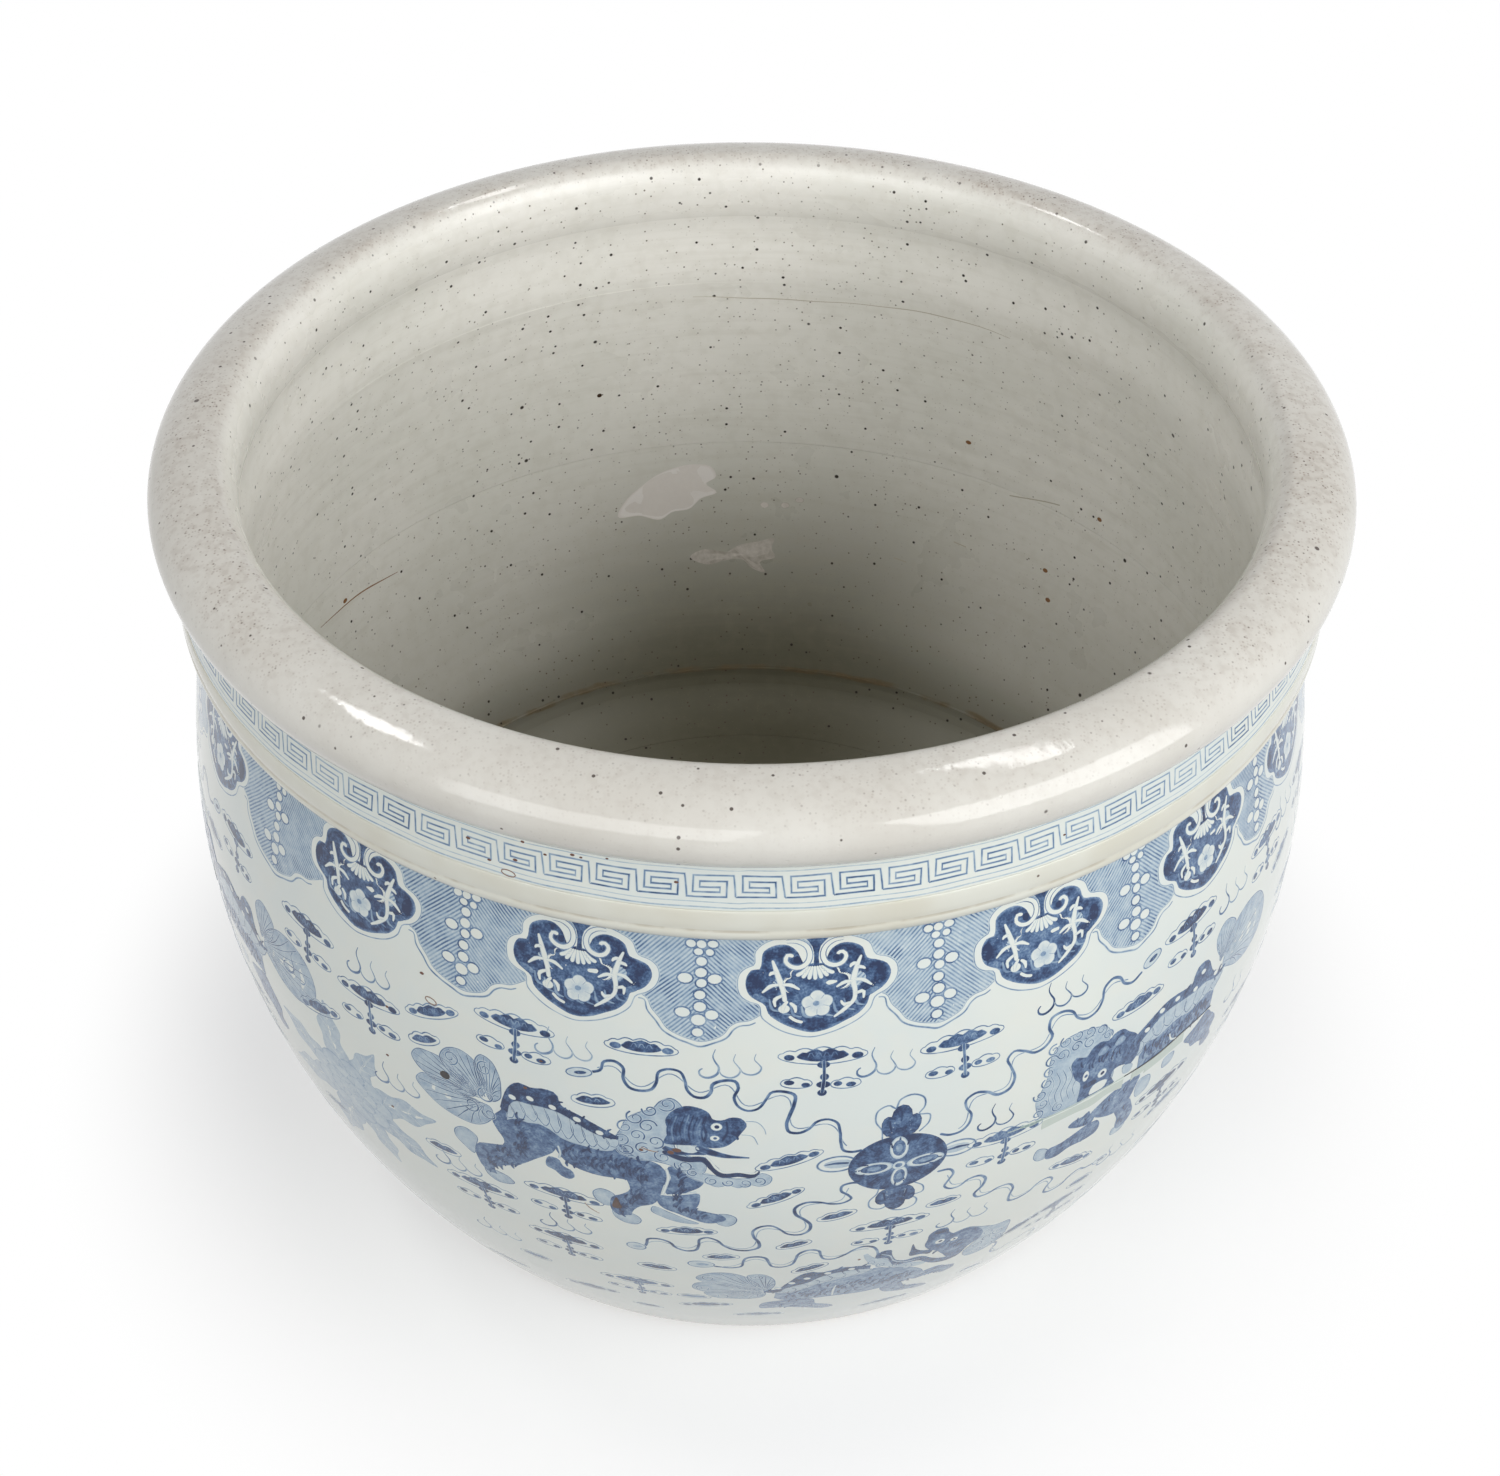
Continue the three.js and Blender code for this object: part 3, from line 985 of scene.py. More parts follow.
def cut_fine(points, longest):
    """The same straight legs, cut so that no step is longer than a length."""
    made = [points[0]]
    for start, end in zip(points[:-1], points[1:]):
        steps = max(1, math.ceil(math.dist(start, end) / longest))
        share = np.arange(1, steps + 1)[:, None] / steps
        made += list(np.array(start) + share * (np.array(end) - np.array(start)))
    return np.array(made)


def ring_round(sheet, y, width, ink, level):
    """A line all the way round the bowl."""
    x = np.arange(0, 440) * ROUND / 440
    lines = [np.column_stack([x, np.full_like(x, y + side * width / 2)]) for side in (-1, 0, 1)]
    tone = (0.75 + 0.25 * np.sin(x / 31 + y) * np.sin(x / 83))[:, None] * np.array([0, ink, 0])[None]
    sheet.film(np.stack(lines, axis=1), tone, level, closed=True)


def paint_fret():
    """The units of the fret, one after the other, and three lines round the neck."""
    fret = Painting(on_neck, seed=5)
    pitch = ROUND / FRET_UNITS
    legs = cut_fine(FRET_PATH, 4.5) * [pitch / FRET_WIDTH, 1]
    dipped = {3: 0.85, 4: 0.7, 86: 0.72, 87: 0.68}
    for unit in range(FRET_UNITS):
        tone = dipped.get(unit, 0.56 + 0.14 * math.sin(unit * 1.3) * math.sin(unit * 0.37))
        fret.at(FRET_START + unit * pitch, 0)
        fret.stroke(legs, 1.35, [tone * 1.25, tone, tone * 0.9], 1, sharp=True)
    for y, width, ink in ((1.6, 1.2, 0.5), (4.3, 0.9, 0.34), (21.2, 0.9, 0.32)):
        ring_round(fret, y, width, ink, 1)
    fret.dry("key_fret", cobalt)


paint_fret()

# %% [markdown]
# ## Ruyi heads and lappets on the shoulder
#
# Seventeen ruyi heads hang from the moulding, dark blue with white sprays and a flower saved
# out of the ground. Between them hang hatched lappets with a string of beads.

# %% Ruyi heads
HEADS_IN_FRONT = [-342, -204.5, -81, 31.5, 145.5, 255.5, 357]
HEAD_PLACES = np.concatenate([HEADS_IN_FRONT, np.linspace(357, ROUND - 342, 12)[1:-1]])
HEAD_BORDER = [
    (-1, 376.5), (-2.5, 382), (-6, 384.6), (-11, 385.3), (-19, 384.8), (-25, 382), (-28, 378.5), (-29, 371.5),
    (-32.5, 370), (-36, 366.5), (-36.8, 361), (-35, 354.5), (-31, 351.5), (-26.8, 350), (-25, 343),
    (-21, 339), (-15, 335), (-9, 332.6), (-1, 331), (6, 332.2), (14, 335), (21, 339), (26, 344),
    (28.5, 350.5), (34, 353.5), (38, 358), (39.3, 363), (38, 368), (34.5, 371), (29, 373), (26, 380),
    (21, 383.2), (15, 385.2), (9, 385.2), (4.5, 384), (2.5, 381.5),
]
HEAD_FIELD = [
    (-1, 372), (-6, 371), (-8, 378), (-13, 381.8), (-19, 381.6), (-24, 378.5), (-25.5, 371), (-26, 369.5),
    (-30, 368.8), (-32.6, 365), (-33, 360), (-31, 355), (-27, 352), (-24, 350), (-22, 345), (-17, 340.5),
    (-11, 337), (-1, 333.6), (7, 335), (14, 338.4), (20.5, 342), (24.5, 347), (26, 352), (31, 354.5),
    (34.5, 358.5), (35.8, 363), (34, 367.5), (29, 370.2), (25, 371.5), (22.5, 378), (18, 380.8), (12, 381.3),
    (7.5, 378.5), (5, 372),
]
HOOK_LEFT = [
    (-14, 383.6), (-8, 383.4), (-4, 381), (-2.4, 377), (-3.4, 372.6), (-7.4, 370), (-11.4, 370.8),
    (-13.8, 373.6), (-12.8, 376.6), (-10, 376),
]
HOOK_RIGHT = [
    (14, 383.8), (9, 383.4), (5.4, 381), (3.8, 376.5), (5.6, 371.6), (10, 369.8), (13.8, 371.6),
    (14.8, 375), (12.6, 377), (10.4, 375.6),
]
NECK_SIDES = [
    [(-5.5, 385.6), (-1.6, 381), (-0.4, 376), (-0.8, 371)],
    [(7.5, 385.6), (2.8, 381), (1.8, 376), (2.2, 371)],
]
SPRAY_LEFT = [(-20, 374), (-18.8, 370), (-17.4, 365), (-16, 360), (-15.2, 356), (-14.6, 351.5)]
SPRAY_RIGHT = [
    (22, 373.6), (20, 369), (18.6, 364.6), (17.6, 360), (18.4, 355), (18, 350), (14.6, 346), (8.5, 341),
]
SPRAYS = ((SPRAY_LEFT, [1.2, 2.6, 3.2, 2.4, 2.4]), (SPRAY_RIGHT, [1.2, 2.4, 3.2, 2.4, 2.2, 2.2, 1.2]))
SPRAY_LEAVES = [
    [(-17, 361), (-20.5, 360.6), (-25.4, 356.6)], [(-16, 361), (-12, 360.8), (-7.5, 358)],
    [(-18, 367), (-20.4, 367.4), (-21.8, 365.8)], [(-15.3, 355.5), (-19.5, 352.5), (-19, 348.8)],
    [(-13.4, 352), (-15.5, 348.6), (-15.5, 345.4)], [(-12.4, 351), (-10, 348.6), (-9.6, 345.2)],
    [(17.6, 360), (14, 360), (9.5, 357.6)], [(18, 361), (21.8, 360.4), (26.6, 357)],
    [(19.4, 367), (21.4, 367.4), (23.6, 366)], [(18.2, 353), (22.4, 354), (22.6, 350)],
    [(16.5, 348.5), (13, 347.6), (11.6, 350)], [(20, 369.6), (17.6, 369.4), (16.4, 367.6)],
]


def flower(sheet, x, y, size, ink, level, petals=5):
    """Round flower: the radius swells once for each petal."""
    count = petals * 8
    angle = np.linspace(0, 2 * math.pi, count, endpoint=False)
    reach = size * (0.78 + 0.22 * np.abs(np.cos(petals * (angle - math.pi / 2) / 2)))
    sheet.patch(oval(x, y, reach, reach, count), ink, level, fade=0.5, spacing=1.2)


def ruyi_head(sheet, darker):
    """White border, dark field, white hooks of the scroll, petals, sprays and a flower."""
    sheet.patch(HEAD_BORDER, 0.0, 2, centre=(0, 360))
    sheet.stroke(HEAD_BORDER, [0.8, 1.0, 0.8], 0.5, 3, spacing=2.0, closed=True)
    field_inks = np.array([0.64, 0.7, 0.86]) * darker
    sheet.patch(HEAD_FIELD, field_inks, 3, centre=(0, 360), fade=0.5)
    sheet.span(*NECK_SIDES, 0.86, 4)
    for k in range(9):
        x = -20 + 5 * k
        low = 339.5 + 0.012 * x * x
        wave = [(x - 2, low + 9), (x, low + 3), (x + 3.4, low + 2)]
        sheet.stroke(wave, [0.8, 1.6, 0.6], 0.42, 4, fade=0.55)
    for hook in (HOOK_LEFT, HOOK_RIGHT):
        sheet.stroke(hook, [1.6, 2.9, 3.2, 3.2, 2.8, 2.6], 0.6, 5, fade=0.5)
        sheet.stroke(hook, [1.2, 1.9, 2.2, 2.2, 1.9, 1.7], 0.0, 6)
    sheet.dab(-8.4, 374.2, 1.9, 2.2, 1.0 * darker, 7, fade=0.6)
    sheet.dab(10.2, 373.8, 1.9, 2.0, 1.0 * darker, 7, fade=0.6)
    for index in range(7):
        lean = (index - 3) * 2.5
        tip = (lean * 1.2, 362.8 + 0.4 * abs(index - 3) ** 1.8)
        sheet.stroke([(lean * 0.4, 370.4), (lean * 0.8, 367.2), tip], [1.2, 2.3, 2.2], 0.0, 5, fade=0.35)
    for spray, width in SPRAYS:
        sheet.stroke(spray, width, 0.0, 5, fade=0.25)
    for leaf in SPRAY_LEAVES:
        sheet.stroke(leaf, [1.4, 2.2, 1.0], 0.0, 5, fade=0.25)
    sheet.dab(-15, 347.6, 2.8, 2.4, 0.0, 5, fade=0.2)
    sheet.stroke([(-12.5, 343.5), (-9.6, 341), (-6, 339.6)], 1.5, 0.06, 5)
    flower(sheet, 0.5, 349.3, 7.8, [0.2, 0.1, 0.06], 5)
    sheet.dab(0, 349.6, 1.7, 1.5, 0.45, 6, fade=0.2)
    for index in range(5):
        petal = np.array([(3.0, 0), (5.8, 0)]) @ spin(90 + 36 + 72 * index)
        sheet.stroke(petal + [0.4, 349.4], 0.6, 0.4, 6)
    for side in (-1, 1):
        sheet.dab(side * 30, 361.5, 3, 5, 1.0 * darker, 4, fade=0.8)
        sheet.dab(side * 26, 353.6, 4.4, 1.8, 0.62 * darker, 4, fade=0.8, turn=side * 24)


def paint_heads():
    """One head at each place, each a little darker or paler than the next."""
    heads = Painting(on_body, seed=11)
    for index, middle in enumerate(HEAD_PLACES):
        heads.at(middle, 0)
        ruyi_head(heads, 1 + 0.06 * math.sin(index * 2.1))
    heads.dry("ruyi_heads", cobalt)


paint_heads()

# %% Lappets
LAPPET_LOW = [
    (-45, 356), (-30, 353), (-24.6, 350), (-22.5, 345), (-18.8, 340), (-15.8, 335), (-10.5, 331.6),
    (-5, 329.6), (0, 328.4), (6.5, 330), (11.5, 333), (14.8, 337.6), (17.8, 339.6), (24, 341), (31, 346),
    (45, 352),
]
LAPPET_LINE = [
    (-29, 349.6), (-26.4, 349.4), (-24.6, 343.6), (-20.8, 338.3), (-17.6, 333.2), (-11.6, 329.4),
    (-5.6, 327.2), (-0.4, 325.4), (6.4, 327.6), (13, 331), (16.6, 335.8), (19.2, 337.6), (24.5, 338.6),
    (27, 340),
]
BEADS = [
    (-4.5, 382, 2.7, 2.3), (0.5, 382, 2.7, 2.4), (6, 382.4, 2.9, 2.2), (-1, 378, 2.5, 2.1),
    (4.4, 378, 2.3, 2.1), (0.5, 373, 2.9, 2.7), (0.5, 367, 3.1, 2.9), (1, 361.2, 2.8, 2.7),
    (0.5, 354.6, 3, 2.8), (0.5, 348, 3.3, 3), (-0.5, 340.6, 3.8, 3.4), (-1, 333.6, 3, 2.7),
    (-6.8, 363.6, 3.8, 3), (7, 363.6, 3.6, 3), (-7.8, 344.6, 3.9, 3), (6, 343.6, 3.5, 3),
]
NEXT_PLACES = np.append(HEAD_PLACES[1:], HEAD_PLACES[0] + ROUND)
LAPPET_PLACES = 0.5 * (HEAD_PLACES + NEXT_PLACES) + 2
LAPPET_WIDTHS = (NEXT_PLACES - HEAD_PLACES) / (ROUND / len(HEAD_PLACES))


def paint_lappets():
    """Hatched wash between two heads, its border lines and its string of beads."""
    washes = Painting(on_body, seed=21)
    beads = Painting(on_body, seed=22)
    top = [(x, SHEET_TOP - 0.3) for x in np.linspace(-45, 45, 9)]
    for middle, wider in zip(LAPPET_PLACES, LAPPET_WIDTHS):
        upper_edge, low_edge, line = [np.array(edge) * [wider, 1] for edge in (top, LAPPET_LOW, LAPPET_LINE)]
        washes.at(middle, 0)
        washes.span(upper_edge, low_edge, 0.25, 0, fade=0.25, spacing=3.2, across=14)
        beads.at(middle, 0)
        beads.stroke(line, [1.0, 1.4, 1.6, 1.4, 1.0], 0.58, 1)
        beads.stroke(low_edge[1:-1], 0.8, 0.46, 1)
        for x, y, reach, rise in BEADS:
            beads.dab(x, y, reach + 0.5, rise + 0.5, 0.56, 1, fade=0.5)
            beads.dab(x, y, reach - 0.35, rise - 0.35, 0.0, 2, fade=0.1)
    hatched = washes.dry("lappet_washes", make_cobalt("hatched_cobalt", hatched=True))
    flat = np.concatenate(washes.brush)
    nearest = np.abs(flat[:, :1] - LAPPET_PLACES).min(axis=1)
    hatch = hatched.data.attributes.new("hatch", "FLOAT", "POINT")
    hatch.data.foreach_set("value", ((flat[:, 1] + nearest) / math.sqrt(2)).astype(np.float32))
    beads.dry("lappet_beads", cobalt)


paint_lappets()

# %% [markdown]
# ## The hunt on the body
#
# Round the body buddhist lions chase ribboned brocade balls among clouds and flames. One
# scene of three lions and a ball is painted three times round the bowl, each time from the
# same drawing, as a workshop does. The scene is drawn on the sheet, where the front is x 0, and
# more clouds fill the wider gaps between the scenes.

# %% Clouds and flames
SCENE_PLACES = {"front": 0, "right": 690, "left": -560}
NARROW_REACH, WIDE_REACH = 285, 450
HOOKED_CLOUDS = [
    (-243, 312), (-198, 295), (-113, 319), (35, 319), (103, 314.5), (244, 318), (129, 240), (-92, 204),
    (-141, 184), (73, 186), (-97, 154), (-62, 112), (238, 205), (322, 318), (318, 205), (186, 128),
    (268, 130), (387, 316), (366, 256), (374, 158), (336, 128), (417, 84),
]
LENS_CLOUDS = [
    (-158, 307, 22), (-236, 261, 22), (-50, 321, 0), (20, 252, 20), (14, 222, 30), (-30, 188, 6),
    (178, 184, -18), (205, 290, 0), (-95, 76, 6), (-24, 80, 16), (160, 122, 24), (250, 178, 10),
    (330, 170, 12), (230, 92, 6), (-160, 60, 8), (90, 52, 0), (8, 58, 4), (292, 150, 0), (418, 284, 14),
    (398, 214, -12), (366, 94, 8), (344, 56, 0), (424, 138, 10), (346, 288, 10),
]
SPINDLES = [
    (-163, 287, 24), (-73, 283, 8), (-160, 206, 3), (45, 202, 14), (24, 175, 20), (100, 196, 0),
    (-13, 161, 4), (34, 144, 24), (-48, 140, 0), (-124, 108, 4), (-62, 58, 0), (146, 66, -4),
    (195, 146, -6), (310, 95, 0), (215, 55, 0), (-250, 168, 6), (-30, 96, 2), (352, 212, 14), (402, 182, 4),
    (388, 60, -6), (410, 250, 8),
]
FLAMES = [
    (-195, 313, 0.42, 3), (-85, 314, 0.36, 3), (-180, 246, 0.42, 3), (-253, 276, 0.4, 2), (-150, 198, 0.4, 3),
    (-92, 172, 0.46, 3), (-5, 315, 0.36, 3), (68, 312, 0.38, 3), (160, 322, 0.66, 3), (125, 258, 0.7, 2),
    (117, 175, 0.4, 3), (285, 312, 0.42, 3), (222, 160, 0.36, 3), (-140, 132, 0.36, 3), (300, 232, 0.36, 2),
    (352, 318, 0.4, 3), (398, 240, 0.4, 2), (346, 176, 0.4, 3), (404, 118, 0.36, 3), (390, 282, 0.4, 3),
]
LICK = np.array([
    (-0.4, 5.6), (-2, 4.2), (-1.8, 1.6), (0.6, 0), (4, 0.6), (6.6, 3), (7, 6.4), (5.4, 9.6), (4.4, 12.6),
    (5.6, 17),
])
NEXT_LICK = np.array([
    (7.2, 5), (8, 2.4), (10, 0.6), (13, 0), (15.8, 1.8), (16.8, 4.8), (15.4, 8), (13.8, 11), (14.8, 15.4),
])


def halo(sheet, x, y, reach, rise, bumps):
    """Thin closed line round a cloud: an ellipse, scalloped along its upper half."""
    angle = np.linspace(0, 2 * math.pi, 8 * bumps, endpoint=False)
    swell = 1 + 0.35 * np.abs(np.sin(bumps * angle)) * (np.sin(angle) > 0)
    line = oval(x, y, reach, rise * swell, 8 * bumps)
    sheet.stroke(line, [0.7, 1.1, 0.8, 1.0, 0.8], 0.74, 1, closed=True, spacing=1.3)


def puff(sheet, x, y, reach, rise, lobes, tone):
    """Dark spindle with pointed ends, whose upper edge swells once for each lobe."""
    angle = np.linspace(0, 2 * math.pi, 28, endpoint=False)
    swell = 0.8 + 0.5 * np.abs(np.cos(lobes * angle)) * (np.sin(angle) > 0)
    outline = oval(x, y, reach, rise * swell * np.abs(np.sin(angle)) ** 0.2, 28)
    sheet.patch(outline, [tone * 0.86, tone, tone * 1.05], 2, fade=0.4, centre=(x, y), spacing=None)
    for k in range(lobes - 1):
        far = x + (k - (lobes - 2) / 2) * 1.5 * reach / lobes
        fold = [(far - 1.4, y - 0.2), (far, y + 0.7 * rise), (far + 1.6, y)]
        sheet.stroke(fold, [0.4, 0.8, 0.4], tone * 0.62, 3, fade=0.6, spacing=2)


def lens_cloud(sheet, tone):
    """A puff with a dot at each end, inside one thin line."""
    puff(sheet, 0, 0, 9.6, 3.3, 4, tone)
    sheet.dab(-12.2, -0.4, 2.8, 1.9, tone * 0.95, 2, fade=0.3)
    sheet.dab(12.4, -0.2, 2.9, 2.0, tone * 0.95, 2, fade=0.3)
    halo(sheet, 0, -0.2, 17.4, 3.9, 7)


def spindle(sheet, tone):
    """A single puff inside one thin line."""
    puff(sheet, 0, 0, 8.4, 2.5, 3, tone)
    halo(sheet, 0, 0, 10.6, 3.6, 4)


def hooked_cloud(sheet, tone):
    """A puff with a stem under it, and a row of dots across the stem's foot."""
    puff(sheet, 0, 0, 12.5, 3.8, 5, tone)
    sheet.dab(-16, -0.6, 2.7, 1.9, tone, 2, fade=0.3)
    sheet.dab(16.6, -0.8, 2.9, 2.0, tone, 2, fade=0.3)
    halo(sheet, 0, -0.2, 21.5, 4.4, 7)
    sheet.stroke([(0.6, -2.4), (1, -12), (0.8, -23)], [2.0, 1.6, 2.0, 1.8], tone * 0.9, 3)
    for x, y, reach in ((0.5, -5, 3.2), (1.2, -12.6, 2.3), (1, -17.4, 3.6), (0.8, -22.6, 2.4)):
        sheet.dab(x, y, reach, 2.2, tone, 2, fade=0.4)
    for x, y, reach in ((-15.5, -16.2, 2.6), (-7.5, -17.6, 2.2), (8, -17.2, 2.2), (14.6, -18.2, 2.6)):
        sheet.dab(x, y, reach, 1.6, tone * 0.95, 2, fade=0.3)
    for x, y in ((-12, -16.8), (12, -17.6)):
        halo(sheet, x, y, 7.6, 2.9, 3)


def flame(sheet, ink, licks):
    """Hooked licks in a row: each dips, turns up and ends in a thin bent tip."""
    sheet.stroke(LICK, [0.8, 1.5, 1.8, 1.3, 0.9, 0.5], ink, 1, spacing=1.3)
    for k in range(1, licks):
        line = NEXT_LICK * [1, 1 - 0.1 * k] + [9.6 * (k - 1), 1.2 * k - 1.2]
        sheet.stroke(line, [0.7, 1.4, 1.7, 1.2, 0.8, 0.5], ink, 1, spacing=1.3)


def paint_sky(name, start):
    """Clouds and flames of one scene; the left one has less room at its right."""
    sky = Painting(on_body, seed=31)
    reach_right = NARROW_REACH if start < 0 else WIDE_REACH
    for index, (x, y) in enumerate(HOOKED_CLOUDS):
        if x < reach_right:
            sky.at(start + x, y, turn=3 * math.sin(index * 1.7), size=0.98)
            hooked_cloud(sky, 0.8 + 0.08 * math.sin(index * 2.7 + 0.4))
    for draw, places in ((lens_cloud, LENS_CLOUDS), (spindle, SPINDLES)):
        for index, (x, y, turn) in enumerate(places):
            if x < reach_right:
                sky.at(start + x, y, turn=turn, size=0.96 + 0.07 * math.sin(index))
                draw(sky, 0.76 + 0.08 * math.sin(index * 1.9))
    for x, y, ink, licks in FLAMES:
        if x < reach_right:
            sky.at(start + x - 5 * licks, y - 8, turn=3 * math.sin(x))
            flame(sky, 1.35 * ink, licks)
    sky.dry(name, cobalt)


for side_name, start_x in SCENE_PLACES.items():
    paint_sky("clouds_" + side_name, start_x)

# %% [markdown]
# ## Ball and ribbons
#
# The brocade ball carries four petals and a hub, loops at its sides, and a finial above and
# below. Its ribbons wind away across the scene, each a firm line with a thin one inside it,
# which is the same path with its bends drawn in.

# %% Ribbons
RIBBONS = [
    [(55, 255), (50, 254.5), (46, 256), (44, 262), (43.5, 270), (42, 277), (38, 279.5), (33, 278.5),
     (29, 274), (24, 271.5), (19.5, 272.5), (18.5, 277), (20, 283), (22, 290), (22, 296), (17, 298.5),
     (11, 298), (9, 294), (5, 288), (0, 287), (-4, 289.5), (-6, 295), (-4, 302), (-5, 305), (-12, 305.5),
     (-16, 303), (-17, 298), (-20, 294.5), (-25, 294.5), (-28, 298), (-29, 304), (-31, 309), (-37, 310),
     (-41, 308), (-42.5, 301), (-45, 296.5), (-50, 295), (-55, 296), (-58, 301), (-58.5, 308), (-63, 311),
     (-68, 309.5), (-69.5, 304), (-74, 301.5), (-80, 299.5)],
    [(56, 229), (50, 230), (46, 228.5), (45.5, 224), (49, 220), (51, 216.5), (47, 213.5), (41, 214),
     (35, 216.5), (28, 217), (23.5, 213), (24, 207), (29, 201), (32, 196), (31, 189), (27, 186), (21, 187),
     (17, 192), (13, 196), (7, 195.5), (3, 191), (3.5, 185), (6, 179), (6, 173), (1, 170), (-6, 171),
     (-11, 175), (-15, 181), (-20, 183), (-23, 181), (-24, 174), (-26, 168), (-31, 166), (-36, 168.5),
     (-39, 174), (-45, 176.5), (-50, 175), (-51, 170), (-54, 163.5), (-59, 163)],
    [(93, 256), (98, 253.5), (104, 254), (108, 258), (109, 264), (106, 270), (105.5, 275), (110, 278),
     (116, 276.5), (122, 272.5), (128, 274), (131, 280), (129, 288), (127, 294), (130, 297.5), (136, 295.5),
     (142, 292), (147, 293), (151, 298), (149, 304), (150, 309), (156, 310.5), (162, 308), (166, 302),
     (172, 299), (178, 301), (181, 306), (182, 313), (187, 316), (192, 314), (195, 309), (200, 306.5),
     (207, 309)],
    [(94, 226), (101, 225), (103, 221), (101, 216), (99, 211), (102, 207.5), (107, 207), (112, 211),
     (118, 211.5), (122, 207), (121, 200), (117, 194), (119, 190), (125, 189.5), (132, 192.5), (138, 191.5),
     (141, 186), (140, 178), (141, 172), (147, 170), (153, 172), (158, 177.5), (164, 178), (168, 173),
     (166, 167), (166, 161), (171, 158), (178, 159), (183, 165), (188, 167), (193, 163), (200, 161)],
    [(-23, 151), (-15, 148.5), (-8, 147.5), (-3, 149.5), (-1.5, 156), (0, 160), (5, 162), (10, 160.5),
     (12, 155), (14, 149.5), (19, 148.5), (24, 151), (26, 158), (27, 164), (32, 168), (37, 166.5),
     (39, 160), (41, 155), (46, 153.5), (52, 157), (57, 162), (61, 164), (66, 162), (69, 156), (70, 150)],
    [(143, 112), (149, 110), (151, 103), (150, 96), (153, 89), (160, 86), (167, 90), (174, 96), (181, 95),
     (185, 88), (184, 80), (189, 74), (197, 74), (203, 80), (211, 83), (217, 78)],
]
RIBBON_INKS = (0.82, 0.8, 0.72, 0.62, 0.74, 0.6)
RIBBON_ENDS = [
    (-80, 299.6, 6.6, 2.8, 14, 0.8), (-57, 164.4, 5, 4, 0, 0.3), (214, 313, 6.4, 3.4, 20, 0.8),
    (205, 160, 5.5, 3.2, -10, 0.8), (-24, 150.8, 7, 4, 0, 0.3), (222, 76, 5, 3.4, -20, 0.8),
]


def ring_line(sheet, x, y, reach, rise, ink, level, width=1.1, turn=0.0):
    """Closed elliptical line."""
    line = oval(x, y, reach, rise, 20, turn)
    sheet.stroke(line, width, ink, level, closed=True, spacing=1.3)


def drawn_in(path):
    """The same path with its bends flattened: each point becomes the mean of its stretch."""
    line = curve(path, 2.0)[0]
    share = np.ones(12) / 12
    return np.column_stack([np.convolve(line[:, axis], share, mode="valid") for axis in (0, 1)])


def ribbons_of_ball(sheet):
    """Each ribbon's thin inner line and firm line, then the tassels at the ends."""
    for path, tone in zip(RIBBONS, RIBBON_INKS):
        sheet.stroke(drawn_in(path)[::2], 0.95, tone * 0.72, 1, spacing=2.0)
        inks = [tone * (0.86 + 0.22 * math.sin(k * 2.1)) for k in range(len(path))]
        sheet.stroke(path, [2.0, 1.6, 2.3, 1.6, 2.2, 1.7, 2.1, 1.8], inks, 2)
    for x, y, reach, rise, turn, heart in RIBBON_ENDS:
        sheet.dab(x, y, reach, rise, 0.12, 3, turn=turn)
        ring_line(sheet, x, y, reach, rise, 0.66, 4, 1.2, turn)
        sheet.dab(x + 0.6, y, reach * 0.5, rise * 0.4, heart, 4, turn=turn, fade=0.3)


def in_each_scene(name, seed, draw, x=0, y=0):
    """Paints one drawing at its place in every scene, as one piece."""
    sheet = Painting(on_body, seed)
    for start_x in SCENE_PLACES.values():
        sheet.at(start_x + x, y)
        draw(sheet)
    sheet.dry(name, cobalt)


in_each_scene("ribbons", 41, ribbons_of_ball)

# %% Brocade balls
BALL = (73, 241)


def finial(sheet, up):
    """Three lobes of cloth tied at the ball's top or bottom, with a line round them."""
    lobes = [(0.5, 33, 5.4, 8), (-5.5, 27.5, 4, 7), (6.5, 27, 4, 7)]
    sheet.span([(-5, 17 * up), (-3, 30 * up)], [(6, 17 * up), (5, 30 * up)], 0.7, 2)
    for x, y, reach, rise in lobes:
        sheet.dab(x, y * up, reach, rise, [0.66, 0.78], 2, fade=0.9, turn=-10 * x * up / 6)
        sheet.stroke([(x * 0.8, y * up - 3), (x, y * up + 4)], [0.6, 1.4, 0.6], 0.95, 3, fade=0.8)
    outline = [
        (-8.5, 20), (-9, 26), (-12.5, 33), (-11.5, 40), (-6, 42.5), (-3, 40), (-1, 45), (5, 47.5), (11, 44),
        (11.5, 38), (9, 34), (14.5, 32), (14.5, 27), (9.5, 21),
    ]
    height = 0.98 if up > 0 else 0.9
    sheet.stroke(np.array(outline) * [1, up * height], [1.2, 1.6, 1.2], 0.6, 1)


